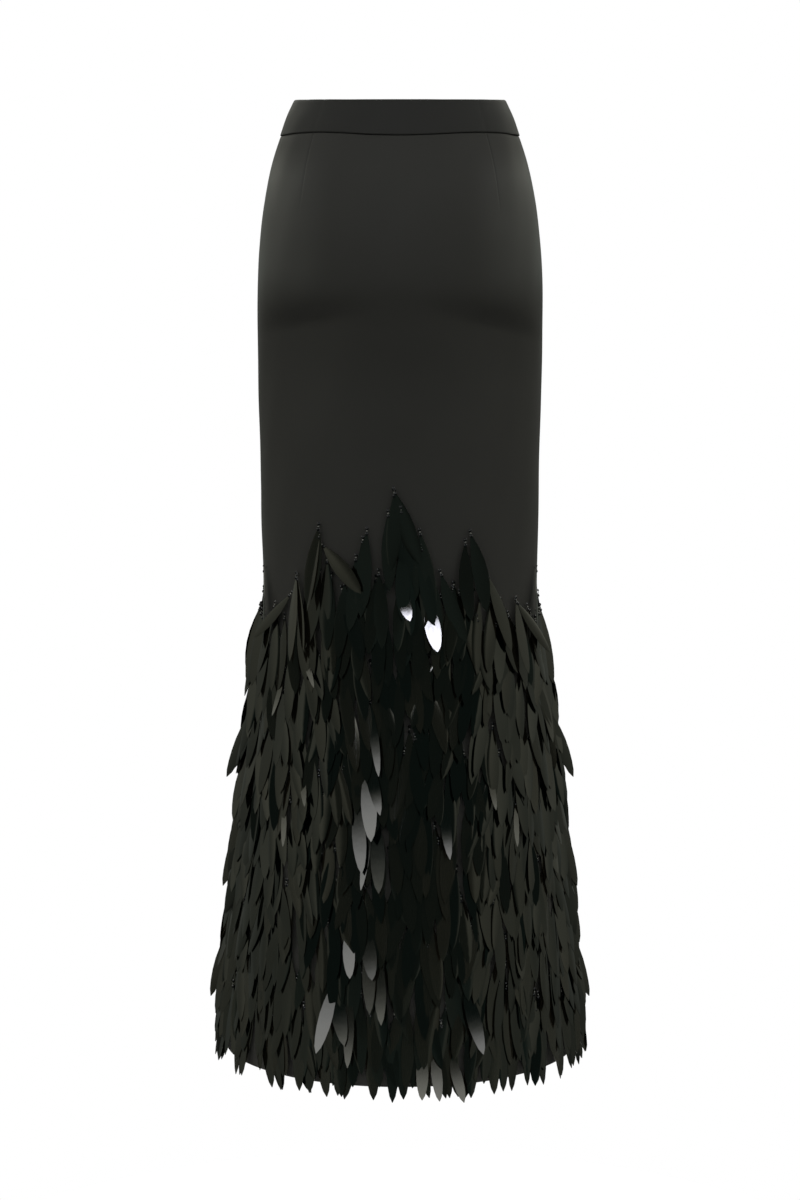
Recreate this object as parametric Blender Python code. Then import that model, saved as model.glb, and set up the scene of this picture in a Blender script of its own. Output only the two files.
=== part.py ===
"""A floor-length mermaid skirt as worn: satin panels on a contoured waistband, flaring into a
fishtail that is covered with overlapping rows of pointed leaf paillettes.

Frame: metres, +Z up, origin at the centre of the waist, half way up the waistband, where the wearer
carries the skirt. -Y is the back of the garment and +X the wearer's right.
Angles run round the skirt in degrees from the centre back: 0 is the centre back, 90 the +X side
seam and 180 the centre front.
"""

import math
from typing import NamedTuple

import bpy
import numpy as np

# Heights of the cut. The waist seam dips a little at the centres and at the side seams.
BAND_TOP = 0.0185
BAND_SEAM = -0.0195
SEAM_WAVE = 0.0018
SEAM_SIDE_DIP = 0.0008
HEM = -1.0655

# Thicknesses and clearances. The waistband stands proud of the panels and its edges are turned.
SATIN = 0.0012
BAND_INSIDE = 0.0014
BAND_OUTSIDE = 0.0006
BAND_TURN = 0.0017
BAND_TURN_DEPTH = 0.0006
LEAF = 0.0010
SEAM_GAP = 0.0003
NORMAL_STEP = 0.0005

# The leaf rows lie close to the satin at their sewn edge, and lift away from it further down.
ROOT_CLEARANCE = 0.0010
VALLEY_SHARE = 0.52
SHOULDER_SHARE = 0.84
KEEL = 0.0010
ROW_OVERLAP = 0.016
POINT_LENGTH = 0.046
SHOULDER_DROP = 0.62
SHOULDER_WIDTH = 0.66
FIRST_ROW_NOTCH = -0.566

# Two darts a panel, each a shallow groove between two close columns of points.
DART_ANGLE = 47.5
DART_HALF_ANGLE = 0.6
DART_END = -0.100
DART_DEPTH = 0.0005

# Half the side seam's gap is this angle at the satin's depth there.
SIDE_SEAM_ANGLE = math.degrees(SEAM_GAP / 2 / 0.1)


class Section(NamedTuple):
    """The satin's outline at one height: half its width, and its depth behind and before the axis."""

    z: float
    half_width: float
    back: float
    front: float


SECTIONS = (
    Section(z=0.0300, half_width=0.1120, back=0.0830, front=0.0870),
    Section(z=0.0185, half_width=0.1170, back=0.0865, front=0.0905),
    Section(z=-0.0015, half_width=0.1262, back=0.0930, front=0.0965),
    Section(z=-0.0205, half_width=0.1331, back=0.0990, front=0.1010),
    Section(z=-0.0485, half_width=0.1426, back=0.1095, front=0.1055),
    Section(z=-0.0930, half_width=0.1523, back=0.1235, front=0.1100),
    Section(z=-0.1380, half_width=0.1577, back=0.1335, front=0.1120),
    Section(z=-0.1850, half_width=0.1606, back=0.1385, front=0.1125),
    Section(z=-0.2350, half_width=0.1618, back=0.1350, front=0.1125),
    Section(z=-0.2900, half_width=0.1611, back=0.1255, front=0.1120),
    Section(z=-0.3650, half_width=0.1592, back=0.1190, front=0.1115),
    Section(z=-0.4560, half_width=0.1579, back=0.1160, front=0.1115),
    Section(z=-0.5400, half_width=0.1566, back=0.1160, front=0.1130),
    Section(z=-0.6000, half_width=0.1596, back=0.1220, front=0.1180),
    Section(z=-0.7000, half_width=0.1690, back=0.1390, front=0.1335),
    Section(z=-0.8000, half_width=0.1800, back=0.1570, front=0.1500),
    Section(z=-0.9000, half_width=0.1902, back=0.1740, front=0.1655),
    Section(z=-1.0000, half_width=0.1985, back=0.1880, front=0.1785),
    Section(z=-1.0800, half_width=0.2040, back=0.1970, front=0.1870),
)


class Fold(NamedTuple):
    """A soft trough pressed into the satin: its middle, its spread each way, its depth and its slope."""

    angle: float
    z: float
    spread_angle: float
    spread_z: float
    depth: float
    rise: float


FOLDS = (
    Fold(angle=-41, z=-0.232, spread_angle=17, spread_z=0.017, depth=0.0026, rise=0.00060),
    Fold(angle=38, z=-0.226, spread_angle=18, spread_z=0.018, depth=0.0024, rise=-0.00065),
    Fold(angle=146, z=-0.225, spread_angle=15, spread_z=0.019, depth=0.0014, rise=0.00040),
    Fold(angle=212, z=-0.231, spread_angle=16, spread_z=0.018, depth=0.0013, rise=-0.00035),
)


class Peak(NamedTuple):
    """One leaf of the first row, whose upper point stands up against the bare satin."""

    angle: float
    top: float


PEAKS = (
    Peak(angle=-90, top=-0.513),
    Peak(angle=-76, top=-0.548),
    Peak(angle=-62, top=-0.540),
    Peak(angle=-48, top=-0.503),
    Peak(angle=-34, top=-0.456),
    Peak(angle=-24, top=-0.520),
    Peak(angle=-14, top=-0.456),
    Peak(angle=-2, top=-0.411),
    Peak(angle=9, top=-0.457),
    Peak(angle=19, top=-0.503),
    Peak(angle=29, top=-0.456),
    Peak(angle=40, top=-0.509),
    Peak(angle=53, top=-0.537),
    Peak(angle=70, top=-0.545),
    Peak(angle=90, top=-0.513),
    Peak(angle=104, top=-0.545),
    Peak(angle=117, top=-0.528),
    Peak(angle=130, top=-0.498),
    Peak(angle=143, top=-0.462),
    Peak(angle=155, top=-0.505),
    Peak(angle=167, top=-0.450),
    Peak(angle=178, top=-0.415),
    Peak(angle=189, top=-0.468),
    Peak(angle=201, top=-0.512),
    Peak(angle=213, top=-0.470),
    Peak(angle=226, top=-0.505),
    Peak(angle=240, top=-0.536),
    Peak(angle=255, top=-0.530),
)


class LeafRow(NamedTuple):
    """One ring of leaf points: how many, the height of their tips, and how far these stand off."""

    points: int
    tip: float
    lift: float
    side_lift: float


FIRST_ROW = LeafRow(points=len(PEAKS), tip=-0.665, lift=0.0090, side_lift=0.0030)
FULL_ROWS = (
    LeafRow(points=34, tip=-0.748, lift=0.0110, side_lift=0.0080),
    LeafRow(points=38, tip=-0.858, lift=0.0110, side_lift=0.0030),
    LeafRow(points=42, tip=-0.947, lift=0.0110, side_lift=0.0035),
    LeafRow(points=46, tip=-1.019, lift=0.0110, side_lift=0.0065),
    LeafRow(points=62, tip=-1.0815, lift=0.0085, side_lift=0.0015),
)

# From leaf to leaf the tips waver by these lengths, and at the side seams they hang a little higher.
TIP_WAVER = 0.004
LIFT_WAVER = 0.0015
WAVER_TURN = 2.4
SIDE_TIP_RISE = 0.004


class Stretch(NamedTuple):
    """Rings of the panels down to one height, evenly spaced from the stretch above."""

    bottom: float
    rings: int


RING_STRETCHES = (
    Stretch(bottom=-0.170, rings=6),
    Stretch(bottom=-0.275, rings=7),
    Stretch(bottom=-0.545, rings=7),
    Stretch(bottom=-0.620, rings=3),
    Stretch(bottom=HEM, rings=8),
)
SPANS_TO_DART = 6
SPANS_BESIDE_DART = 5

SATIN_COLOUR = (0.020, 0.019, 0.018, 1.0)
LEAF_COLOUR = (0.008, 0.008, 0.008, 1.0)


def clear_scene():
    """Remove everything that a new scene starts with."""
    for old in list(bpy.data.objects):
        bpy.data.objects.remove(old)


def finish(name, colour, roughness):
    """A plain opaque surface."""
    material = bpy.data.materials.new(name)
    material.use_nodes = True
    surface = material.node_tree.nodes["Principled BSDF"]
    surface.inputs["Base Color"].default_value = colour
    surface.inputs["Roughness"].default_value = roughness
    surface.inputs["Metallic"].default_value = 0.0
    return material


def smooth_table(z, heights, values):
    """Read a table at the heights z, through a cubic whose slope at each row is its neighbours' slope."""
    slopes = np.gradient(values, heights)
    at = np.clip(np.searchsorted(heights, z) - 1, 0, len(heights) - 2)
    step = heights[at + 1] - heights[at]
    t = np.clip((z - heights[at]) / step, 0.0, 1.0)
    return (
        values[at] * (2 * t**3 - 3 * t**2 + 1)
        + slopes[at] * step * (t**3 - 2 * t**2 + t)
        + values[at + 1] * (3 * t**2 - 2 * t**3)
        + slopes[at + 1] * step * (t**3 - t**2)
    )


def outline(angle, z):
    """Points of the satin's outer face, before its folds, at angles in degrees and heights z."""
    rows = np.array(SECTIONS[::-1])
    turn = np.radians(angle)
    half_width = smooth_table(z, rows[:, 0], rows[:, 1])
    back = smooth_table(z, rows[:, 0], rows[:, 2])
    front = smooth_table(z, rows[:, 0], rows[:, 3])
    depth = np.where(np.cos(turn) > 0, back, front)
    return np.stack([half_width * np.sin(turn), -depth * np.cos(turn), z], axis=-1)


def fold_depth(angle, z):
    """How far the soft troughs press in at a point: each is a bell along the skirt's round and down it."""
    pressed = np.zeros_like(z)
    for fold in FOLDS:
        along = (angle - fold.angle + 180) % 360 - 180
        down = z - fold.z - fold.rise * along
        pressed += fold.depth * np.exp(
            -0.5 * (along / fold.spread_angle) ** 2 - 0.5 * (down / fold.spread_z) ** 2
        )
    return pressed


def on_form(angle, z, off):
    """Points that lie off the satin's outer face by the distance off, along its normal."""
    angle, z, off = np.broadcast_arrays(
        np.asarray(angle, float), np.asarray(z, float), np.asarray(off, float)
    )
    here = outline(angle, z)
    round_it = outline(angle + np.degrees(NORMAL_STEP), z) - here
    up_it = outline(angle, z + NORMAL_STEP) - here
    normal = np.cross(round_it, up_it)
    normal /= np.linalg.norm(normal, axis=-1, keepdims=True)
    return here + normal * (off - fold_depth(angle, z))[..., None]


def seam_height(angle):
    """The waist seam's height: a wave of four dips round the skirt, and lower at the sides."""
    turn = np.radians(angle)
    return BAND_SEAM - SEAM_WAVE * np.cos(4 * turn) + SEAM_SIDE_DIP * np.cos(2 * turn)


def thick_cloth(name, outer, inner, material):
    """A solid between two grids of points, whose rows run down and whose columns run round the skirt."""
    rows, columns = outer.shape[:2]
    inside = rows * columns
    corner = np.arange(inside).reshape(rows, columns)
    faces = []
    for row in range(rows - 1):
        for column in range(columns - 1):
            a, b = corner[row, column], corner[row, column + 1]
            c, d = corner[row + 1, column + 1], corner[row + 1, column]
            faces.append((a, d, c, b))
            faces.append((inside + a, inside + b, inside + c, inside + d))
    rim = np.concatenate([corner[0, :-1], corner[:-1, -1], corner[-1, :0:-1], corner[:0:-1, 0]])
    for start, end in zip(rim, np.roll(rim, -1)):
        faces.append((start, end, inside + end, inside + start))
    points = np.concatenate([outer.reshape(-1, 3), inner.reshape(-1, 3)])
    return add_solid(name, points, faces, material)


def add_solid(name, points, faces, material):
    """Put one closed mesh in the scene, shaded smooth but for its sharp edges."""
    mesh = bpy.data.meshes.new(name)
    mesh.from_pydata(points.tolist(), [], [[int(corner) for corner in face] for face in faces])
    mesh.materials.append(material)
    mesh.shade_smooth()
    mesh.set_sharp_from_angle(angle=math.radians(40))
    solid = bpy.data.objects.new(name, mesh)
    bpy.context.scene.collection.objects.link(solid)
    return solid


def panel_angles(middle):
    """Angles of one panel's columns, from side seam to side seam, with three close ones at each dart."""
    to_dart = np.linspace(0, DART_ANGLE - DART_HALF_ANGLE, SPANS_TO_DART + 1)
    beside = np.linspace(DART_ANGLE + DART_HALF_ANGLE, 90 - SIDE_SEAM_ANGLE, SPANS_BESIDE_DART + 1)
    right = np.concatenate([to_dart, [DART_ANGLE], beside])
    return middle + np.concatenate([-right[:0:-1], right])


def ring_shares():
    """How far down the panel each ring lies: 0 at the waist seam and 1 at the hem."""
    heights, top = [BAND_SEAM], BAND_SEAM
    for stretch in RING_STRETCHES:
        heights.extend(np.linspace(top, stretch.bottom, stretch.rings + 1)[1:])
        top = stretch.bottom
    return (BAND_SEAM - np.array(heights)) / (BAND_SEAM - HEM)


def skirt_panel(name, middle, material):
    """The back or front panel, from the waist seam to the hem, with its two darts pressed in as grooves."""
    angle = panel_angles(middle)
    top = seam_height(angle) - SEAM_GAP
    z = top + (HEM - top) * ring_shares()[:, None]
    on_dart = np.isclose(np.abs(angle - middle), DART_ANGLE) & (z > DART_END)
    outer = on_form(angle, z, np.where(on_dart, -DART_DEPTH, 0.0))
    inner = on_form(angle, z, -SATIN)
    return thick_cloth(name, outer, inner, material)


def waistband(name, middle, material):
    """Half of the contoured waistband, a little proud of the panels, with its top and bottom edges turned."""
    angle = panel_angles(middle)
    bottom = seam_height(angle)[None, :]
    top = np.full_like(bottom, BAND_TOP)
    thirds = [top + (bottom - top) * share for share in (1 / 3, 2 / 3)]
    z = np.concatenate([top, top - BAND_TURN, *thirds, bottom + BAND_TURN, bottom])
    off = np.full((len(z), 1), BAND_OUTSIDE)
    off[[0, -1]] -= BAND_TURN_DEPTH
    return thick_cloth(name, on_form(angle, z, off), on_form(angle, z, -BAND_INSIDE), material)


def leaf_ring(name, angles, tops, tips, lifts, material):
    """One ring of leaves, joined side by side above their notches and tapering to a point below them.

    The columns of angles and tops alternate between the notches and the leaves' midribs; tips and
    lifts have one value a leaf. Each grid's rows are the sewn edge and the notches' height.
    """
    ribs = angles[1::2]
    leaves, columns = len(ribs), len(angles)
    notch_z = np.interp(angles, ribs, tips, period=360) + POINT_LENGTH
    rib_lifts = np.interp(angles, ribs, lifts, period=360)
    clearance = np.stack([np.full(columns, ROOT_CLEARANCE), rib_lifts * VALLEY_SHARE])
    clearance[1, 1::2] += KEEL
    z = np.stack([tops, notch_z])
    half_pitch = (np.roll(angles, -2) - angles)[::2] % 360 / 2
    shoulder_angle = ribs[:, None] + SHOULDER_WIDTH * half_pitch[:, None] * np.array([-1, 1])
    shoulder_z = (tips + POINT_LENGTH * (1 - SHOULDER_DROP))[:, None]
    shoulder_off = (lifts * SHOULDER_SHARE)[:, None]
    sides = []
    for thickness in (LEAF, 0.0):
        band = on_form(angles[None, :], z, clearance + thickness)
        shoulders = on_form(shoulder_angle, shoulder_z, shoulder_off + thickness)
        points = on_form(ribs, tips, lifts + thickness)
        sides.append(np.concatenate([band.reshape(-1, 3), shoulders.reshape(-1, 3), points]))
    inside = len(sides[0])
    faces = []
    for leaf in range(leaves):
        left, rib, right = 2 * leaf, 2 * leaf + 1, (2 * leaf + 2) % columns
        low_left, low_rib, low_right = columns + left, columns + rib, columns + right
        shoulder = 2 * columns + 2 * leaf
        point = 2 * columns + 2 * leaves + leaf
        front = (
            (left, low_left, low_rib, rib),
            (right, rib, low_rib, low_right),
            (low_left, shoulder, low_rib),
            (low_rib, shoulder, shoulder + 1),
            (low_rib, shoulder + 1, low_right),
            (shoulder, point, shoulder + 1),
        )
        faces.extend(front)
        # Each back face starts at the same corner as its front, so both are halved the same way.
        back = ((face[0], *reversed(face[1:])) for face in front)
        faces.extend(tuple(inside + corner for corner in face) for face in back)
        rim = (
            (left, rib),
            (rib, right),
            (shoulder, low_left),
            (point, shoulder),
            (shoulder + 1, point),
            (low_right, shoulder + 1),
        )
        faces.extend((start, end, inside + end, inside + start) for start, end in rim)
    return add_solid(name, np.concatenate(sides), faces, material)


def tips_and_lifts(row, ribs):
    """The height of each leaf's tip and how far it stands off, both uneven from leaf to leaf."""
    waver = np.sin(WAVER_TURN * np.arange(len(ribs)))
    at_side = np.sin(np.radians(ribs)) ** 2
    tips = row.tip + TIP_WAVER * waver + SIDE_TIP_RISE * at_side
    lifts = row.lift + LIFT_WAVER * waver + row.side_lift * at_side**4
    return tips, lifts


def first_leaf_row(name, material):
    """The top row, whose leaves show their upper points against the satin at uneven heights."""
    ribs = np.array([peak.angle for peak in PEAKS], float)
    notches = (np.insert(ribs[:-1], 0, ribs[-1] - 360) + ribs) / 2
    angles = np.stack([notches, ribs], axis=1).reshape(-1)
    notch_z = np.full(len(ribs), FIRST_ROW_NOTCH)
    tops = np.stack([notch_z, [peak.top for peak in PEAKS]], axis=1).reshape(-1)
    return leaf_ring(name, angles, tops, *tips_and_lifts(FIRST_ROW, ribs), material)


def full_leaf_row(name, row, top, phase, material):
    """One evenly spaced row, whose sewn edge is hidden under the row above."""
    angles = (np.arange(2 * row.points) + phase) * 180 / row.points
    tops = np.full(len(angles), top)
    return leaf_ring(name, angles, tops, *tips_and_lifts(row, angles[1::2]), material)


def build():
    """Make the whole skirt."""
    clear_scene()
    satin = finish("satin", SATIN_COLOUR, roughness=0.42)
    leaf = finish("leaf_film", LEAF_COLOUR, roughness=0.12)
    waistband("waistband_back", 0, satin)
    waistband("waistband_front", 180, satin)
    skirt_panel("skirt_back", 0, satin)
    skirt_panel("skirt_front", 180, satin)
    first_leaf_row("leaf_row_1", leaf)
    above = FIRST_ROW.tip
    for number, row in enumerate(FULL_ROWS, start=2):
        top = above + POINT_LENGTH + ROW_OVERLAP
        full_leaf_row(f"leaf_row_{number}", row, top, number % 2, leaf)
        above = row.tip


build()
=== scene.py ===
"""The finish of a floor-length mermaid skirt: satin panels on a contoured waistband, and a fishtail
sewn over with pointed leaf paillettes.

Frame: metres, +Z up, origin at the centre of the waist. -Y is the back of the garment and +X the
wearer's right. Angles run round the skirt in degrees from the centre back: 0 is the centre back, 90
the +X side seam and 180 the centre front.
"""

import logging
import math
from collections.abc import Mapping, Sequence
from dataclasses import dataclass, field
from enum import Enum
from typing import NamedTuple

import bpy
import numpy as np
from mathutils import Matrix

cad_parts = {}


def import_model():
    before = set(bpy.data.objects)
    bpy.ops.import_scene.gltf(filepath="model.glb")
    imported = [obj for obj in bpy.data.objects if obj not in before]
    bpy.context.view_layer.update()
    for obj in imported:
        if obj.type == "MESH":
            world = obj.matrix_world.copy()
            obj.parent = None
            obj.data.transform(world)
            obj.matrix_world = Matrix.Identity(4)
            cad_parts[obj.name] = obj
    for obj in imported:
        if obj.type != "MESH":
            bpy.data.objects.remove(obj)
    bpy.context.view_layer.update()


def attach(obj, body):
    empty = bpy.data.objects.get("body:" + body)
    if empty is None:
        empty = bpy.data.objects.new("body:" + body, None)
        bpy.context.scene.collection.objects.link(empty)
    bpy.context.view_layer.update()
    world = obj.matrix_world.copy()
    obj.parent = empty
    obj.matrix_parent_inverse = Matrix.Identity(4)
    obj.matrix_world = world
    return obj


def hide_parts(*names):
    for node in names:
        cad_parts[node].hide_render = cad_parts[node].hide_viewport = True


logger = logging.getLogger("skirt")

Colour = tuple[float, float, float]
Span = tuple[float, float]
CAMERA_PLACE = (0.0, -3.7, -0.0115)
FLAT_MAP = "Flat"
LEAF_LENGTH = 0.0870


# ---------------------------------------------------------------------------------------------
# The form that every piece lies on
# ---------------------------------------------------------------------------------------------


class Section(NamedTuple):
    """The satin's outline at one height: half its width, and its depths behind and in front."""

    z: float
    half_width: float
    back: float
    front: float


class Trough(NamedTuple):
    """A soft trough pressed into the satin: its middle, its spreads, its depth and its slope.

    Its rise is how much higher its middle lies for each degree round the skirt.
    """

    angle: float
    z: float
    spread_angle: float
    spread_above: float
    spread_below: float
    depth: float
    rise: float


SECTIONS: tuple[Section, ...] = (
    Section(z=0.0300, half_width=0.1120, back=0.0830, front=0.0870),
    Section(z=0.0185, half_width=0.1170, back=0.0865, front=0.0905),
    Section(z=-0.0015, half_width=0.1262, back=0.0930, front=0.0965),
    Section(z=-0.0205, half_width=0.1331, back=0.0990, front=0.1010),
    Section(z=-0.0485, half_width=0.1426, back=0.1095, front=0.1055),
    Section(z=-0.0930, half_width=0.1523, back=0.1235, front=0.1100),
    Section(z=-0.1380, half_width=0.1577, back=0.1335, front=0.1120),
    Section(z=-0.1850, half_width=0.1606, back=0.1385, front=0.1125),
    Section(z=-0.2350, half_width=0.1618, back=0.1350, front=0.1125),
    Section(z=-0.2900, half_width=0.1611, back=0.1255, front=0.1120),
    Section(z=-0.3650, half_width=0.1592, back=0.1190, front=0.1115),
    Section(z=-0.4560, half_width=0.1579, back=0.1160, front=0.1115),
    Section(z=-0.5400, half_width=0.1566, back=0.1160, front=0.1130),
    Section(z=-0.6000, half_width=0.1596, back=0.1220, front=0.1180),
    Section(z=-0.7000, half_width=0.1690, back=0.1390, front=0.1335),
    Section(z=-0.8000, half_width=0.1800, back=0.1570, front=0.1500),
    Section(z=-0.9000, half_width=0.1902, back=0.1740, front=0.1655),
    Section(z=-1.0000, half_width=0.1985, back=0.1880, front=0.1785),
    Section(z=-1.0800, half_width=0.2040, back=0.1970, front=0.1870),
)

SEAT_TROUGHS: tuple[Trough, ...] = (
    Trough(-42, -0.2295, 17, 0.0140, 0.080, depth=0.0122, rise=0.00045),
    Trough(42, -0.2325, 18, 0.0140, 0.080, depth=0.0122, rise=-0.00055),
    Trough(0, -0.2370, 46, 0.0220, 0.050, depth=0.0028, rise=0.0),
    Trough(146, -0.225, 15, 0.0190, 0.030, depth=0.0014, rise=0.00040),
    Trough(212, -0.231, 16, 0.0180, 0.030, depth=0.0013, rise=-0.00035),
)


@dataclass(frozen=True)
class SkirtForm:
    """The outer face of the satin as it hangs on the wearer, as a function of angle and height."""

    sections: tuple[Section, ...] = SECTIONS
    troughs: tuple[Trough, ...] = SEAT_TROUGHS
    band_seam: float = -0.0195
    seam_wave: float = 0.0018
    seam_side_dip: float = 0.0008
    step: float = 0.0005

    def measure(self, z: np.ndarray, column: str) -> np.ndarray:
        """Read one column of the sections at the heights z.

        Between two rows it is a cubic whose slope at each row is its neighbours' slope.

        Args:
            z: Heights.
            column: The column's name in a section.

        Returns:
            The column's values at those heights.
        """
        rows = np.array(self.sections[::-1])
        heights, values = rows[:, 0], rows[:, Section._fields.index(column)]
        slopes = np.gradient(values, heights)
        at = np.clip(np.searchsorted(heights, z) - 1, 0, len(heights) - 2)
        step = heights[at + 1] - heights[at]
        t = np.clip((z - heights[at]) / step, 0.0, 1.0)
        return (
            values[at] * (2 * t**3 - 3 * t**2 + 1)
            + slopes[at] * step * (t**3 - 2 * t**2 + t)
            + values[at + 1] * (3 * t**2 - 2 * t**3)
            + slopes[at + 1] * step * (t**3 - t**2)
        )

    def outline(self, angle: np.ndarray, z: np.ndarray) -> np.ndarray:
        """Points of two half ellipses that share the skirt's width: sine across, cosine in depth.

        Args:
            angle: Angles round the skirt, in degrees.
            z: Heights.

        Returns:
            One point for each angle and height, before the troughs are pressed in.
        """
        turn = np.radians(angle)
        across = self.measure(z, "half_width") * np.sin(turn)
        depth = np.where(np.cos(turn) > 0, self.measure(z, "back"), self.measure(z, "front"))
        return np.stack([across, -depth * np.cos(turn), z], axis=-1)

    def pressed(self, angle: np.ndarray, z: np.ndarray) -> np.ndarray:
        """Depth of the soft troughs: each is a bell round the skirt and a lopsided one down it.

        Args:
            angle: Angles round the skirt, in degrees.
            z: Heights.

        Returns:
            How far the satin is pressed in at each of them.
        """
        depth = np.zeros(np.broadcast(angle, z).shape)
        for trough in self.troughs:
            along = (angle - trough.angle + 180) % 360 - 180
            above = z - trough.z - trough.rise * along
            spread = np.where(above > 0, trough.spread_above, trough.spread_below)
            depth = depth + trough.depth * bell(along, trough.spread_angle) * bell(above, spread)
        return depth

    def normal(self, angle: np.ndarray, z: np.ndarray) -> np.ndarray:
        """The outward direction: the cross product of a short step round the form and one up it.

        Args:
            angle: Angles round the skirt, in degrees.
            z: Heights.

        Returns:
            One unit vector for each angle and height.
        """
        here = self.outline(angle, z)
        round_it = self.outline(angle + np.degrees(self.step), z) - here
        up_it = self.outline(angle, z + self.step) - here
        return unit(np.cross(round_it, up_it))

    def point(self, angle: np.ndarray, z: np.ndarray, off: np.ndarray | float) -> np.ndarray:
        """Points that lie off the satin's outer face, along its normal.

        Args:
            angle: Angles round the skirt, in degrees.
            z: Heights.
            off: Distance outwards from the satin, which is negative on its inner side.

        Returns:
            One point for each angle, height and distance.
        """
        angle, z, off = np.broadcast_arrays(
            np.asarray(angle, float), np.asarray(z, float), np.asarray(off, float)
        )
        raised = (off - self.pressed(angle, z))[..., None]
        return self.outline(angle, z) + self.normal(angle, z) * raised

    def metres_per_degree(self, angle: np.ndarray, z: np.ndarray) -> np.ndarray:
        """Length of the satin's outline for each degree, at each angle and height."""
        ahead = self.outline(angle + 0.5, z) - self.outline(angle - 0.5, z)
        return np.linalg.norm(ahead, axis=-1)

    def evenly_round(self, count: int, z: float, phase: float) -> np.ndarray:
        """Angles of points that stand evenly spaced along the outline at one height.

        Args:
            count: How many points go once round.
            z: The height.
            phase: Where the first stands, as a share of the spacing.

        Returns:
            The angles, in degrees.
        """
        half_degrees = np.linspace(0.0, 360.0, 2 * 360 + 1)
        length = np.cumsum(self.metres_per_degree(half_degrees, np.full_like(half_degrees, z)))
        passed = (length - length[0]) / (length[-1] - length[0])
        share = (np.arange(count) + phase) / count
        return np.interp(share % 1.0, passed, half_degrees)

    def seam(self, angle: np.ndarray) -> np.ndarray:
        """Height of the waist seam: a wave of four dips round the skirt, and lower at the sides."""
        turn = np.radians(angle)
        wave = self.seam_wave * np.cos(4 * turn) - self.seam_side_dip * np.cos(2 * turn)
        return self.band_seam - wave


# ---------------------------------------------------------------------------------------------
# Meshes
# ---------------------------------------------------------------------------------------------


def unit(vectors: np.ndarray) -> np.ndarray:
    """Vectors of length one with the directions of these."""
    return vectors / np.linalg.norm(vectors, axis=-1, keepdims=True)


def bell(distance: np.ndarray, spread: np.ndarray | float) -> np.ndarray:
    """A smooth bump: one at no distance, falling to nothing over about three spreads."""
    return np.exp(-0.5 * (distance / spread) ** 2)


def shell_faces(rows: int, columns: int) -> np.ndarray:
    """Faces of a closed shell between two grids of points, the outer grid's points coming first.

    Rows run down and columns run to the right as seen from outside, so that down crossed with right
    points outwards. The rim joins the two grids all the way round.

    Args:
        rows: Rows of points in each grid.
        columns: Columns of points in each grid.

    Returns:
        Four corners for each face.
    """
    size = rows * columns
    corner = np.arange(size).reshape(rows, columns)
    a, b, c, d = corner[:-1, :-1], corner[:-1, 1:], corner[1:, 1:], corner[1:, :-1]
    outer = np.stack([a, d, c, b], axis=-1).reshape(-1, 4)
    inner = np.stack([a, b, c, d], axis=-1).reshape(-1, 4) + size
    start = np.concatenate([corner[0, :-1], corner[:-1, -1], corner[-1, :0:-1], corner[:0:-1, 0]])
    end = np.roll(start, -1)
    rim = np.stack([start, end, end + size, start + size], axis=-1)
    return np.concatenate([outer, inner, rim])


def ring_faces(rings: int, sides: int, closed: bool) -> np.ndarray:
    """Faces of a tube whose points come ring by ring.

    Args:
        rings: How many rings of points.
        sides: Points in each ring, which run anticlockwise as seen from the last ring.
        closed: Whether the last ring joins the first. If not, four-sided ends are capped.

    Returns:
        Four corners for each face.
    """
    ring = np.arange(rings if closed else rings - 1)[:, None] * sides
    here, there = np.arange(sides), (np.arange(sides) + 1) % sides
    ahead = (ring + sides) % (rings * sides)
    walls = np.stack([ring + here, ring + there, ahead + there, ahead + here], axis=-1)
    walls = walls.reshape(-1, 4)
    if closed:
        return walls
    caps = np.array([[3, 2, 1, 0], [0, 1, 2, 3]]) + np.array([[0], [(rings - 1) * sides]])
    return np.concatenate([walls, caps])


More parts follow.
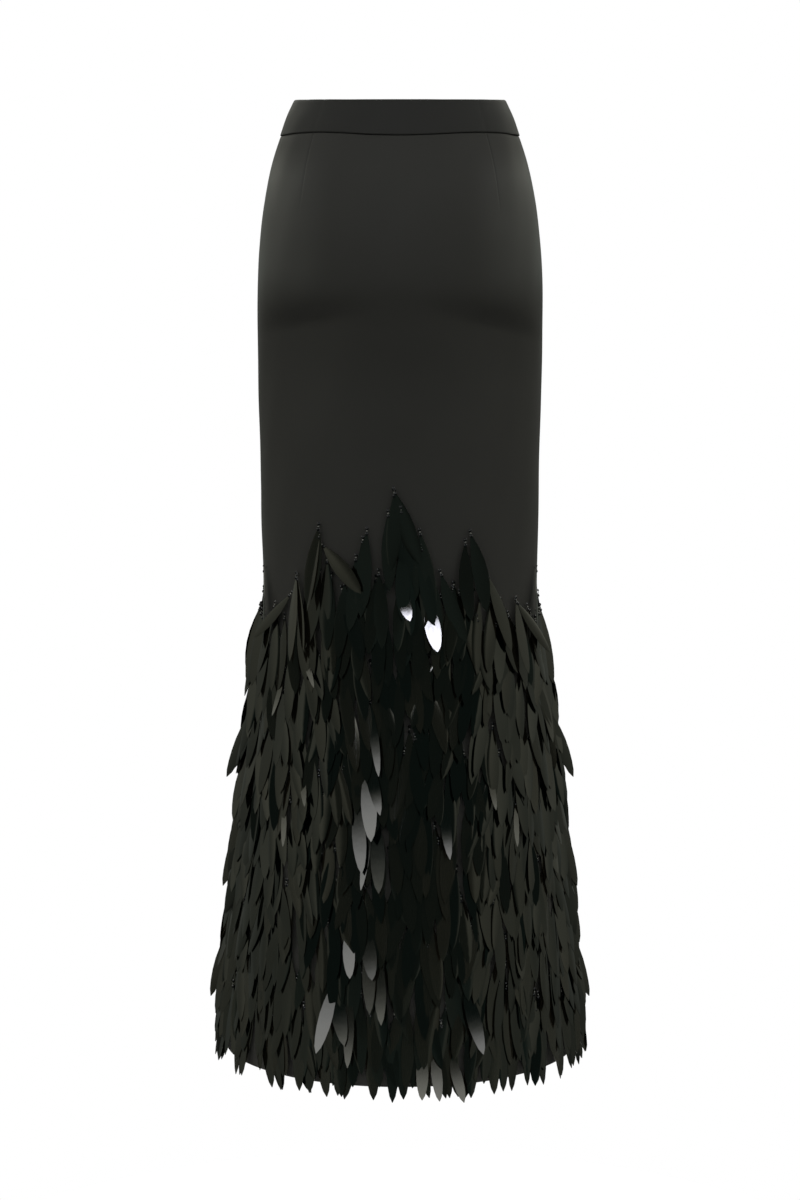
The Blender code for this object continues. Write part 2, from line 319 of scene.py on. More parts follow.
@dataclass
class Surface:
    """One piece while it is worked out: its points and faces, its flat map and its values.

    Attributes:
        points: One row of x, y and z a point.
        faces: Four corners a face.
        flat: One row of two lengths a point, in metres, which follow the surface.
        values: Named numbers, one a point, that the finishes read.
    """

    points: np.ndarray
    faces: np.ndarray
    flat: np.ndarray
    values: dict[str, np.ndarray] = field(default_factory=dict)

    @classmethod
    def shell(cls, outer: np.ndarray, inner: np.ndarray, flat: np.ndarray) -> "Surface":
        """A closed shell between two grids of points.

        Args:
            outer: The outer points, as rows by columns by 3.
            inner: The inner points, the same way.
            flat: The flat map of either, as rows by columns by 2.

        Returns:
            The shell.
        """
        rows, columns = outer.shape[:2]
        points = np.concatenate([outer.reshape(-1, 3), inner.reshape(-1, 3)])
        return cls(points, shell_faces(rows, columns), np.tile(flat.reshape(-1, 2), (2, 1)))

    @classmethod
    def repeated(cls, points: np.ndarray, faces: np.ndarray, flat: np.ndarray) -> "Surface":
        """Many copies of one small shape, joined into one piece.

        Args:
            points: The points, as copies by points a copy by 3.
            faces: The faces of one copy.
            flat: The flat map, as copies by points a copy by 2.

        Returns:
            The joined copies.
        """
        copies, size = points.shape[:2]
        first = (np.arange(copies) * size)[:, None, None]
        return cls(points.reshape(-1, 3), (faces + first).reshape(-1, 4), flat.reshape(-1, 2))

    def piece(
        self, name: str, material: bpy.types.Material, sharp: float = 40.0
    ) -> bpy.types.Object:
        """Put the surface in the scene as one smooth mesh.

        Args:
            name: The piece's name.
            material: Its finish.
            sharp: Edges that turn by more than this, in degrees, stay sharp.

        Returns:
            The new object, at the origin.
        """
        starts = np.arange(0, self.faces.size, self.faces.shape[1], dtype=np.int32)
        mesh = bpy.data.meshes.new(name)
        mesh.vertices.add(len(self.points))
        mesh.vertices.foreach_set("co", self.points.astype(np.float32).ravel())
        mesh.loops.add(self.faces.size)
        mesh.loops.foreach_set("vertex_index", self.faces.astype(np.int32).ravel())
        mesh.polygons.add(len(self.faces))
        mesh.polygons.foreach_set("loop_start", starts)
        mesh.update(calc_edges=True)
        layer = mesh.uv_layers.new(name=FLAT_MAP)
        layer.data.foreach_set("uv", self.flat[self.faces.ravel()].astype(np.float32).ravel())
        for key, numbers in self.values.items():
            attribute = mesh.attributes.new(key, "FLOAT", "POINT")
            attribute.data.foreach_set("value", numbers.astype(np.float32))
        mesh.materials.append(material)
        mesh.shade_smooth()
        mesh.set_sharp_from_angle(angle=math.radians(sharp))
        made = bpy.data.objects.new(name, mesh)
        bpy.context.scene.collection.objects.link(made)
        logger.info("%s: %d faces", name, len(self.faces))
        return made


# ---------------------------------------------------------------------------------------------
# Shader maths
# ---------------------------------------------------------------------------------------------


class Signal:
    """A number on its way through a node tree, with the arithmetic that the finishes need."""

    def __init__(self, graph: "ShaderGraph", socket: bpy.types.NodeSocket) -> None:
        """Wrap an output socket of a node in a graph."""
        self.graph = graph
        self.socket = socket

    def maths(self, operation: str, *values: "Signal | float") -> "Signal":
        """Feed values to a new Math node.

        Args:
            operation: The Math node's operation.
            *values: The node's inputs, in order.

        Returns:
            The node's result.
        """
        node = self.graph.node("ShaderNodeMath", {"operation": operation}, dict(enumerate(values)))
        return Signal(self.graph, node.outputs[0])

    def __add__(self, other: "Signal | float") -> "Signal":
        """This plus other."""
        return self.maths("ADD", self, other)

    def __radd__(self, other: float) -> "Signal":
        """Other plus this."""
        return self.maths("ADD", other, self)

    def __sub__(self, other: "Signal | float") -> "Signal":
        """This less other."""
        return self.maths("SUBTRACT", self, other)

    def __rsub__(self, other: float) -> "Signal":
        """Other less this."""
        return self.maths("SUBTRACT", other, self)

    def __mul__(self, other: "Signal | float") -> "Signal":
        """This times other."""
        return self.maths("MULTIPLY", self, other)

    def __rmul__(self, other: float) -> "Signal":
        """Other times this."""
        return self.maths("MULTIPLY", other, self)

    def step(self, low: float, high: float) -> "Signal":
        """A smooth step of this value.

        Args:
            low: Where the step starts, at nothing.
            high: Where it ends, at one. It may lie below low.

        Returns:
            The step.
        """
        node = self.graph.node(
            "ShaderNodeMapRange",
            {"interpolation_type": "SMOOTHSTEP"},
            {"Value": self, "From Min": low, "From Max": high},
        )
        return Signal(self.graph, node.outputs["Result"])


Input = Signal | bpy.types.NodeSocket | float | Sequence[float]


class ShaderGraph:
    """A node tree that is being filled."""

    def __init__(self, tree: bpy.types.NodeTree) -> None:
        """Start on an empty tree."""
        self.tree = tree
        tree.nodes.clear()

    def node(
        self,
        kind: str,
        settings: Mapping[str, object] | None = None,
        inputs: Mapping[str | int, Input] | None = None,
    ) -> bpy.types.Node:
        """Add one node.

        Args:
            kind: The node's type.
            settings: Its own settings, such as a Math node's operation, which are set first.
            inputs: A value or a link for each of its input sockets, by name or by number.

        Returns:
            The new node.
        """
        made = self.tree.nodes.new(kind)
        for key, value in (settings or {}).items():
            setattr(made, key, value)
        for key, value in (inputs or {}).items():
            if isinstance(value, Signal):
                self.tree.links.new(value.socket, made.inputs[key])
            elif isinstance(value, bpy.types.NodeSocket):
                self.tree.links.new(value, made.inputs[key])
            else:
                made.inputs[key].default_value = value
        return made

    def signal(self, node: bpy.types.Node, output: str | int = 0) -> Signal:
        """One output of a node, ready for arithmetic."""
        return Signal(self, node.outputs[output])

    def noise(self, vector: Input, scale: float, detail: float = 2.0) -> Signal:
        """Smooth noise about one half, whose lumps are one over scale across."""
        node = self.node(
            "ShaderNodeTexNoise", None, {"Vector": vector, "Scale": scale, "Detail": detail}
        )
        return Signal(self, node.outputs[0])

    def place(self) -> bpy.types.NodeSocket:
        """The place of each point on the garment, in metres."""
        return self.node("ShaderNodeTexCoord").outputs["Object"]

    def flat_map(self) -> bpy.types.NodeSocket:
        """The piece's own flat map."""
        return self.node("ShaderNodeUVMap", {"uv_map": FLAT_MAP}).outputs[0]

    def value(self, name: str) -> Signal:
        """A named number that the piece carries at its points."""
        return self.signal(self.node("ShaderNodeAttribute", {"attribute_name": name}), "Fac")

    def axes(self, vector: Input) -> tuple[Signal, Signal, Signal]:
        """The three parts of a vector."""
        parts = self.node("ShaderNodeSeparateXYZ", None, {0: vector})
        return self.signal(parts, 0), self.signal(parts, 1), self.signal(parts, 2)

    def stretched(
        self, vector: Input, scale: tuple[float, float, float]
    ) -> bpy.types.NodeSocket:
        """A vector with each of its three parts multiplied by its own scale."""
        return self.node("ShaderNodeMapping", None, {"Vector": vector, "Scale": scale}).outputs[0]

    def blend(self, low: Colour, high: Colour, share: Signal) -> bpy.types.NodeSocket:
        """A colour between two.

        Args:
            low: The colour where share is nothing.
            high: The colour where share is one.
            share: How much of the second.

        Returns:
            The mixed colour.
        """
        node = self.node(
            "ShaderNodeMix",
            {"data_type": "RGBA"},
            {"Factor": share, 6: (*low, 1.0), 7: (*high, 1.0)},
        )
        return node.outputs[2]

    def tinted(self, tint: Colour, level: Signal) -> bpy.types.NodeSocket:
        """A colour made brighter or darker by a level."""
        node = self.node("ShaderNodeVectorMath", {"operation": "SCALE"}, {0: tint, "Scale": level})
        return node.outputs[0]

    def added(
        self, one: bpy.types.NodeSocket, other: bpy.types.NodeSocket
    ) -> bpy.types.NodeSocket:
        """The sum of two colours."""
        node = self.node("ShaderNodeVectorMath", {"operation": "ADD"}, {0: one, 1: other})
        return node.outputs[0]

    def bump(self, height: Signal, distance: float, strength: float) -> bpy.types.NodeSocket:
        """A surface direction that leans with a height.

        Args:
            height: The height, about nothing to one.
            distance: How far one unit of height stands up, in metres.
            strength: How much of it shows.

        Returns:
            The new surface direction.
        """
        node = self.node(
            "ShaderNodeBump", None, {"Height": height, "Distance": distance, "Strength": strength}
        )
        return node.outputs[0]


# ---------------------------------------------------------------------------------------------
# Finishes
# ---------------------------------------------------------------------------------------------


class Slot(Enum):
    """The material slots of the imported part."""

    SATIN = "satin"
    LEAF = "leaf_paillette"


def surfaced(
    name: str, inputs: Mapping[str, float | Sequence[float]]
) -> tuple[bpy.types.Material, ShaderGraph, bpy.types.Node]:
    """Start a material on one principled surface.

    Args:
        name: The material's name.
        inputs: Values that are the same all over, set on the surface's own sockets.

    Returns:
        The material, its graph and its surface node.
    """
    material = bpy.data.materials.new(name)
    material.use_nodes = True
    graph = ShaderGraph(material.node_tree)
    surface = graph.node("ShaderNodeBsdfPrincipled", None, inputs)
    graph.node("ShaderNodeOutputMaterial", None, {"Surface": surface.outputs[0]})
    return material, graph, surface


@dataclass(frozen=True)
class SatinFinish:
    """Heavy black satin: long fine floats that run down the cloth, and a soft broad sheen.

    Where it is stretched over the sides of the hips, its floats lie flat and it is glossier.
    """

    name: str = "heavy_black_satin"
    dark: Colour = (0.0636, 0.0602, 0.0544)
    light: Colour = (0.0707, 0.0670, 0.0604)
    roughness: float = 0.50
    roughness_drift: float = 0.05
    shine: float = 0.14
    sheen: float = 0.04
    sheen_roughness: float = 0.35
    floats_across: float = 3300.0
    floats_along: float = 330.0
    float_height: float = 0.00006
    slubs: float = 55.0
    slub_stretch: float = 0.45
    slub_height: float = 0.00035
    drifts: float = 11.0
    relief: float = 0.35
    stretched_gloss: float = 0.62
    stretched_roughness: float = 0.38
    stretched_above: Span = (-0.215, -0.160)
    stretched_below: Span = (-0.030, -0.072)
    stretched_beside: Span = (0.070, 0.135)

    def material(self) -> bpy.types.Material:
        """The finished satin.

        Floats are noise drawn out down the cloth, slubs a broader one that makes the sheen uneven,
        and both read the cloth's own flat map. The gloss is a product of three smooth steps: above
        the end of the hips, below their start, and away from the middle.

        Returns:
            The material.
        """
        material, graph, surface = surfaced(
            self.name,
            {
                "Sheen Weight": self.sheen,
                "Sheen Roughness": self.sheen_roughness,
                "Specular IOR Level": self.shine,
                "Coat Roughness": self.stretched_roughness,
            },
        )
        flat = graph.flat_map()
        floats = graph.noise(
            graph.stretched(flat, (self.floats_across, self.floats_along, 1.0)), 1.0
        )
        slubs = graph.noise(graph.stretched(flat, (1.0, self.slub_stretch, 1.0)), self.slubs, 3.0)
        drift = graph.noise(flat, self.drifts)
        tree = graph.tree
        tree.links.new(graph.blend(self.dark, self.light, drift), surface.inputs["Base Color"])
        rough = self.roughness + self.roughness_drift * (slubs + floats - 1.0)
        tree.links.new(rough.socket, surface.inputs["Roughness"])
        across, _, up = graph.axes(graph.place())
        hips = up.step(*self.stretched_above) * up.step(*self.stretched_below)
        aside = across.maths("ABSOLUTE", across).step(*self.stretched_beside)
        gloss = self.stretched_gloss * hips * aside
        tree.links.new(gloss.socket, surface.inputs["Coat Weight"])
        height = floats * self.float_height + slubs * self.slub_height
        tree.links.new(graph.bump(height, 1.0, self.relief), surface.inputs["Normal"])
        return material


# A darker copy of the satin, used on the waistband.
DARKER_BAND_SATIN = SatinFinish(
    name="darker_band_satin", dark=(0.0462, 0.0440, 0.0404), light=(0.0514, 0.0490, 0.0450)
)


@dataclass(frozen=True)
class PailletteFinish:
    """Black film leaves, mirror glossy, cut from sheets that differ a little in tint and polish."""

    cool: Colour = (0.0008, 0.0021, 0.0019)
    warm: Colour = (0.0170, 0.0138, 0.0088)
    shine: Colour = (1.0, 1.0, 0.87)
    bending: float = 1.64
    roughness: float = 0.045
    tone_roughness: float = 0.10
    ripple_roughness: float = 0.03
    ripples: float = 70.0
    ripple_height: float = 0.00005
    relief: float = 0.4

    def material(self) -> bpy.types.Material:
        """The finished film: each leaf's tone sets its tint and polish, and ripples bend its shine.

        Returns:
            The material.
        """
        material, graph, surface = surfaced(
            "black_leaf_film", {"IOR": self.bending, "Specular Tint": (*self.shine, 1.0)}
        )
        tone = graph.value("tone")
        ripples = graph.noise(graph.place(), self.ripples)
        tree = graph.tree
        tree.links.new(graph.blend(self.cool, self.warm, tone), surface.inputs["Base Color"])
        rough = self.roughness + self.tone_roughness * (tone * tone)
        rough = rough + self.ripple_roughness * ripples
        tree.links.new(rough.socket, surface.inputs["Roughness"])
        height = ripples * self.ripple_height
        tree.links.new(graph.bump(height, 1.0, self.relief), surface.inputs["Normal"])
        return material


@dataclass(frozen=True)
class BeadFinish:
    """Glass seed beads, black or lined with silver."""

    black: Colour = (0.004, 0.004, 0.005)
    lined: Colour = (0.34, 0.33, 0.30)
    bending: float = 1.6
    metal: float = 0.85
    roughness: float = 0.12
    uneven: float = 0.1
    lumps: float = 180.0
    lined_roughness: float = 0.2

    def material(self) -> bpy.types.Material:
        """The finished glass: each bead's shine turns it from black to silver-lined."""
        material, graph, surface = surfaced("glass_bead", {"IOR": self.bending})
        shine = graph.value("shine")
        tree = graph.tree
        tree.links.new(graph.blend(self.black, self.lined, shine), surface.inputs["Base Color"])
        tree.links.new((self.metal * shine).socket, surface.inputs["Metallic"])
        rough = self.roughness + self.uneven * graph.noise(graph.place(), self.lumps, 1.0)
        rough = rough + self.lined_roughness * shine
        tree.links.new(rough.socket, surface.inputs["Roughness"])
        return material


@dataclass(frozen=True)
class ThreadFinish:
    """Black sewing thread, twisted from two plies."""

    dark: Colour = (0.006, 0.006, 0.006)
    light: Colour = (0.030, 0.029, 0.027)
    roughness: float = 0.7
    plies: float = 1400.0
    ply_height: float = 0.00005
    relief: float = 0.5

    def material(self) -> bpy.types.Material:
        """The finished thread: slanting bands along its flat map are its plies."""
        material, graph, surface = surfaced("black_thread", {"Roughness": self.roughness})
        bands = graph.node(
            "ShaderNodeTexWave",
            {"bands_direction": "DIAGONAL"},
            {"Vector": graph.flat_map(), "Scale": self.plies},
        )
        twist = graph.signal(bands, "Fac")
        tree = graph.tree
        tree.links.new(graph.blend(self.dark, self.light, twist), surface.inputs["Base Color"])
        relief = graph.bump(twist, self.ply_height, self.relief)
        tree.links.new(relief, surface.inputs["Normal"])
        return material


# ---------------------------------------------------------------------------------------------
# Satin
# ---------------------------------------------------------------------------------------------


class Ripple(NamedTuple):
    """One slow wave in the cloth: waves a degree and waves a metre, its height and its start."""

    round: float
    down: float
    height: float
    start: float


CLOTH_RIPPLES: tuple[Ripple, ...] = (
    Ripple(round=0.021, down=3.1, height=0.00024, start=0.4),
    Ripple(round=-0.034, down=6.7, height=0.00016, start=2.1),
    Ripple(round=0.058, down=-4.3, height=0.00012, start=4.0),
    Ripple(round=0.013, down=11.9, height=0.00008, start=1.3),
)


def rippled(angle: np.ndarray, z: np.ndarray, ripples: Sequence[Ripple]) -> np.ndarray:
    """Sum of slow waves in the cloth.

    Args:
        angle: Angles round the skirt, in degrees.
        z: Heights.
        ripples: The waves.

    Returns:
        How far the cloth stands out at each point, about nothing.
    """
    waves = (
        ripple.height
        * np.sin(2 * math.pi * (ripple.round * angle + ripple.down * z) + ripple.start)
        for ripple in ripples
    )
    return sum(waves, np.zeros(np.broadcast(angle, z).shape))


def flat_map(outer: np.ndarray) -> np.ndarray:
    """Lay a grid of points flat: lengths along each row from its middle, and down the middle.

    Args:
        outer: The points, as rows by columns by 3.

    Returns:
        Two lengths for each point, in metres.
    """
    across = np.linalg.norm(np.diff(outer, axis=1), axis=-1).cumsum(axis=1)
    across = np.pad(across, ((0, 0), (1, 0)))
    middle = outer.shape[1] // 2
    down = np.linalg.norm(np.diff(outer[:, middle], axis=0), axis=-1).cumsum()
    down = np.pad(down, (1, 0))[:, None]
    across = across - across[:, middle : middle + 1]
    return np.stack([across, np.broadcast_to(-down, across.shape)], axis=-1)


def skin_area(points: np.ndarray) -> float:
    """Area of a grid of points, from its cells' diagonals."""
    one = points[1:, 1:] - points[:-1, :-1]
    other = points[1:, :-1] - points[:-1, 1:]
    return float(np.linalg.norm(np.cross(one, other), axis=-1).sum() / 2)


class Half(Enum):
    """The halves of the skirt: the word for each in names, and the angle of its middle."""

    BACK = ("back", 0.0)
    FRONT = ("front", 180.0)

    @property
    def word(self) -> str:
        """The word for it in names."""
        return self.value[0]

    @property
    def middle(self) -> float:
        """The angle of its middle."""
        return self.value[1]


@dataclass
class SatinCut:
    """What the waistband and the panels share: the columns that both are worked out on.

    Angles are in degrees. The dart and side columns are the angles between each dart or side seam
    and the close columns beside it.
    """

    form: SkirtForm = field(default_factory=SkirtForm)
    side_gap: float = 0.00015
    side_depth: float = 0.1
    spans: int = 84
    dart_angle: float = 46.0
    dart_columns: tuple[float, ...] = (0.15, 0.36, 0.62, 1.0, 1.5, 2.2)
    dart_clear: float = 2.4
    side_columns: tuple[float, ...] = (0.12, 0.3, 0.6, 1.0, 1.5)

    def columns(self, middle: float) -> np.ndarray:
        """Angles of the columns from side seam to side seam, close together at darts and seams.

        Args:
            middle: The angle of the half's middle.

        Returns:
            The angles, in degrees.
        """
        edge = 90 - math.degrees(self.side_gap / self.side_depth)
        near_dart = np.array(self.dart_columns)
        at_dart = self.dart_angle + np.concatenate([-near_dart[::-1], [0.0], near_dart])
        at_edge = edge - np.array(self.side_columns)
        even = np.linspace(-edge, edge, self.spans + 1)
        clear = np.abs(np.abs(even) - self.dart_angle) > self.dart_clear
        close = [even[clear], at_dart, -at_dart, at_edge, -at_edge]
        return middle + np.unique(np.concatenate(close))


@dataclass
class Waistband(SatinCut):
    """The contoured waistband: two halves, each turned over at its top and under at the seam."""

    top: float = 0.0185
    inside: float = 0.0014
    outside: float = 0.0011
    turn_height: float = 0.0034
    turn_depth: float = 0.0016
    under_height: float = 0.0009
    under_depth: float = 0.0009
    inner_fall: float = 0.4
    dent_depth: float = 0.00022
    dent_spread: float = 1.3
    ripple_share: float = 0.5
    ripple_squeeze: float = 3.0
    rows: int = 26
    even_share: float = 0.35
    sharp: float = 50.0
    flat: Span = (0.372, 0.056)
    area: float = 0.0148

    def half(self, half: Half, satin: bpy.types.Material) -> bpy.types.Object:
        """Make one half, which replaces the plain one.

        The outer face stands off by a set amount, falling away as a quarter ellipse towards the top
        edge and another at the seam. A slow ripple and a faint dent at the darts enliven it.

        Args:
            half: Which half.
            satin: The finish.

        Returns:
            The piece.
        """
        angle = self.columns(half.middle)[None, :]
        even = np.linspace(0.0, 1.0, self.rows)[:, None]
        eased = (1 - np.cos(math.pi * even)) / 2
        share = self.even_share * even + (1 - self.even_share) * eased
        bottom = self.form.seam(angle)
        z = self.top + (bottom - self.top) * share
        turned = np.clip(1 - (self.top - z) / self.turn_height, 0, 1)
        under = np.clip(1 - (z - bottom) / self.under_height, 0, 1)
        fall = self.turn_depth * (1 - np.sqrt(1 - turned**2))
        fall = fall + self.under_depth * (1 - np.sqrt(1 - under**2))
        beside = np.abs(angle - half.middle) - self.dart_angle
        dent = self.dent_depth * bell(beside, self.dent_spread)
        ripple = self.ripple_share * rippled(angle, self.ripple_squeeze * z, CLOTH_RIPPLES)
        outer = self.form.point(angle, z, self.outside - fall - dent + ripple)
        inner = self.form.point(angle, z, -self.inside + ripple - self.inner_fall * fall)
        surface = Surface.shell(outer, inner, flat_map(outer))
        made = surface.piece(f"waistband_{half.word}_satin", satin, self.sharp)
        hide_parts(f"waistband_{half.word}")
        logger.info("%s: %.4f square metres", made.name, skin_area(outer))
        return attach(made, "root")


@dataclass
class SatinPanel(SatinCut):
    """The back and front panels: each shaped by two darts and hung from waistband to hem.

    The seam rows lie that far under the waist seam, and the hem rows that far above the hem.
    """

    hem: float = -1.0655
    thickness: float = 0.0010
    seam_gap: float = 0.0005
    dart_end: float = -0.104
    dart_fade: float = 0.018
    dart_depth: float = 0.00045
    dart_spread: float = 0.34
    pucker_depth: float = 0.00012
    pucker_pitch: float = 0.0075
    pucker_spread: float = 1.6
    dimple_depth: float = 0.00035
    dimple_spread: float = 4.0
    dimple_height: float = 0.010
    drawn_in: float = 0.0003
    drawn_spread: float = 0.55
    waver: float = 0.25
    waver_pitch: float = 0.019
    waist_dip: float = 0.0002
    waist_dip_spread: float = 0.0016
    seam_rows: tuple[float, ...] = (0.0, 0.0006, 0.0014, 0.0024, 0.0036)
    first_row: float = -0.0255
    seat_end: float = -0.34
    seat_step: float = 0.0030
    thigh_end: float = -0.56
    thigh_step: float = 0.0070
    flare_rows: int = 34
    hem_rows: tuple[float, ...] = (0.0040, 0.0012, 0.0)
    sharp: float = 60.0
    flat: Span = (0.64, 1.07)
    area: float = 0.515

    def shares(self) -> np.ndarray:
        """How far down the panel each row lies: close rows to below the seat, then wider ones."""
        hem_rows = self.hem + np.array(self.hem_rows)
        stretches = [
            self.form.band_seam - np.array(self.seam_rows),
            np.arange(self.first_row, self.seat_end, -self.seat_step),
            np.arange(self.seat_end, self.thigh_end, -self.thigh_step),
            np.linspace(self.thigh_end, hem_rows[0], self.flare_rows),
            hem_rows[1:],
        ]
        heights = np.concatenate(stretches)
        return (self.form.band_seam - heights) / (self.form.band_seam - self.hem)

    def relief(
        self, angle: np.ndarray, z: np.ndarray, top: np.ndarray, middle: float
    ) -> np.ndarray:
        """How far the outer face stands out from the form.

        A dart is a narrow crease that fades at its end, with a faint dimple below it and small
        puckers beside it. The side seams draw in, the cloth dips under the waistband, and slow
        ripples run over all of it.

        Args:
            angle: Angles of the columns.
            z: Heights.
            top: The height of the waist seam at each column.
            middle: The angle of the panel's middle.

        Returns:
            The relief at each point.
        """
        beside = np.abs(angle - middle) - self.dart_angle
        from_side = 90 - np.abs(angle - middle)
        fade = np.clip((z - self.dart_end) / self.dart_fade, 0, 1)
        puckers = np.sin(2 * math.pi * z / self.pucker_pitch + angle)
        dimple = bell(beside, self.dimple_spread) * bell(z - self.dart_end, self.dimple_height)
        waver = 1 + self.waver * np.sin(2 * math.pi * z / self.waver_pitch)
        return (
            rippled(angle, z, CLOTH_RIPPLES)
            - self.dart_depth * fade * bell(beside, self.dart_spread)
            - self.pucker_depth * fade * puckers * bell(beside, self.pucker_spread)
            - self.dimple_depth * dimple
            - self.drawn_in * waver * bell(from_side, self.drawn_spread)
            - self.waist_dip * bell(top - z, self.waist_dip_spread)
        )

    def half(self, half: Half, satin: bpy.types.Material) -> bpy.types.Object:
        """Make one panel, which replaces the plain one.

        Args:
            half: Which half.
            satin: The finish.

        Returns:
            The piece.
        """
        angle = self.columns(half.middle)[None, :]
        top = self.form.seam(angle) - self.seam_gap
        z = top + (self.hem - top) * self.shares()[:, None]
        relief = self.relief(angle, z, top, half.middle)
        outer = self.form.point(angle, z, relief)
        inner = self.form.point(angle, z, relief - self.thickness)
        surface = Surface.shell(outer, inner, flat_map(outer))
        made = surface.piece(f"skirt_{half.word}_satin", satin, self.sharp)
        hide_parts(f"skirt_{half.word}")
        logger.info("%s: %.4f square metres", made.name, skin_area(outer))
        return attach(made, "root")


# ---------------------------------------------------------------------------------------------
# Soft lights, which a few leaves mirror
# ---------------------------------------------------------------------------------------------


def towards(bearing: np.ndarray, elevation: np.ndarray) -> np.ndarray:
    """Unit vectors along bearings from the camera's side, at -Y, and elevations, in degrees."""
    round_it, up_it = np.radians(bearing), np.radians(elevation)
    level = np.cos(up_it)
    return np.stack([level * np.sin(round_it), -level * np.cos(round_it), np.sin(up_it)], axis=-1)


class Softbox(NamedTuple):
    """A soft light: its bearing from the camera's side, its elevation, its size and its strength.

    Angles are in degrees. Its strength is its radiance beside the white behind the skirt.
    """

    bearing: float
    elevation: float
    half_width: float
    half_height: float
    soft: float
    strength: float


class Key(Enum):
    """The studio's softboxes."""

    LEFT = Softbox(
        bearing=-36, elevation=31, half_width=2.2, half_height=2.4, soft=1.4, strength=1.0
    )
    RIGHT = Softbox(
        bearing=44, elevation=31, half_width=2.2, half_height=2.4, soft=1.4, strength=1.0
    )
    SPARK = Softbox(
        bearing=-6, elevation=30, half_width=0.7, half_height=2.0, soft=0.15, strength=22.0
    )


# ---------------------------------------------------------------------------------------------
# Leaf paillettes
# ---------------------------------------------------------------------------------------------


class PlacedLeaf(NamedTuple):
    """One leaf of the coat's upper edge, sewn where it shows against the bare satin.

    Angles are in degrees and lengths in metres. A positive lean swings the tip to +X at the back, a
    positive twist turns the face that way, and flare lifts the tip further off. Where a bearing is
    given, the face looks along it instead, raised above the horizon by the rise.
    """

    angle: float
    top: float
    lean: float
    length: float
    width: float = 0.0165
    twist: float = 0.0
    flare: float = 0.0
    bow: float = 0.0
    tone: float = 0.3
    bearing: float = math.nan
    rise: float = 12.0


BACK_EDGE: tuple[PlacedLeaf, ...] = (
    PlacedLeaf(-2.3, -0.409, 19, 0.086, width=0.0195, twist=2),
    PlacedLeaf(-2.3, -0.411, -2, 0.086, twist=-3, flare=-0.002),
    PlacedLeaf(7.9, -0.455, 10, 0.085, twist=2),
    PlacedLeaf(-4.7, -0.434, 1, 0.086, twist=3, flare=-0.002),
    PlacedLeaf(2.6, -0.446, 6, 0.086, width=0.018, twist=-2, flare=-0.003),
    PlacedLeaf(-13.2, -0.454, -1, 0.086, twist=6),
    PlacedLeaf(-14.9, -0.464, -1, 0.086, twist=8, flare=-0.002),
    PlacedLeaf(-34.3, -0.451, -6, 0.088, width=0.018, tone=0.9, bearing=-15, rise=8),
    PlacedLeaf(-33.9, -0.460, -2, 0.086, width=0.010, flare=0.002, tone=0.9, bearing=-58),
    PlacedLeaf(-32.8, -0.471, 43, 0.074, width=0.018, bow=-0.0018, tone=1.0, bearing=-26, rise=11),
    PlacedLeaf(-17.8, -0.484, -4, 0.082, twist=2),
    PlacedLeaf(-46.6, -0.508, 9, 0.098, width=0.014, tone=0.8, bearing=-50, rise=16),
    PlacedLeaf(-46.2, -0.510, 15, 0.086, width=0.010, flare=-0.002, tone=0.7, bearing=-44, rise=12),
    PlacedLeaf(-50.0, -0.530, -41, 0.074, width=0.013, flare=0.002, tone=0.8, bearing=-44, rise=12),
    PlacedLeaf(-74.5, -0.507, 10, 0.091, width=0.013, twist=-18, flare=-0.002, tone=0.8),
    PlacedLeaf(-33.9, -0.502, -9, 0.087, tone=0.6),
    PlacedLeaf(-41.4, -0.520, 9, 0.082, twist=-6, flare=-0.002, tone=0.5),
    PlacedLeaf(-28.7, -0.505, -1, 0.084, twist=5),
    PlacedLeaf(-30.5, -0.488, -2, 0.084, twist=-2, flare=-0.002),
    PlacedLeaf(16.4, -0.501, 19, 0.083, twist=-4),
    PlacedLeaf(26.9, -0.468, 2, 0.087, bearing=13, rise=9),
    PlacedLeaf(29.2, -0.458, 10, 0.089, width=0.018, flare=-0.002, bearing=12, rise=7),
    PlacedLeaf(37.6, -0.506, 14, 0.091, tone=0.6, bearing=40, rise=12),
    PlacedLeaf(45.0, -0.537, 10, 0.084, twist=6, tone=0.6),
    PlacedLeaf(54.8, -0.538, 0, 0.084, tone=0.8, bearing=50, rise=14),
    PlacedLeaf(55.0, -0.540, 33, 0.076, width=0.013, flare=0.002, tone=0.8, bearing=46, rise=12),
    PlacedLeaf(75.1, -0.507, -8, 0.091, width=0.013, twist=14, flare=-0.002, tone=0.8),
    PlacedLeaf(32.6, -0.554, 7, 0.082, tone=0.4),
    PlacedLeaf(1.6, -0.486, 5, 0.084, twist=-19, tone=0.0),
    PlacedLeaf(6.0, -0.509, 15, 0.086, twist=-24, flare=0.002, bow=0.0022, tone=0.0),
    PlacedLeaf(8.3, -0.472, 9, 0.086, flare=0.001, tone=0.1),
    PlacedLeaf(0.4, -0.430, 7, 0.086, flare=-0.003, tone=0.1),
    PlacedLeaf(1.2, -0.468, 0, 0.086, flare=0.001, tone=0.1),
    PlacedLeaf(-8.5, -0.500, 3, 0.085, twist=3),
    PlacedLeaf(-22.5, -0.512, -3, 0.085, twist=4),
    PlacedLeaf(11.0, -0.492, 8, 0.085, twist=1, flare=-0.002),
    PlacedLeaf(22.0, -0.515, 4, 0.085, twist=-1),
    PlacedLeaf(-62.0, -0.545, -12, 0.084, width=0.014, tone=0.7),
    PlacedLeaf(64.0, -0.548, 12, 0.084, width=0.014, tone=0.7),
    PlacedLeaf(-86.0, -0.555, 6, 0.088, twist=40, flare=0.001, tone=0.8),
    PlacedLeaf(86.0, -0.555, -6, 0.088, twist=-40, flare=0.001, tone=0.8),
)

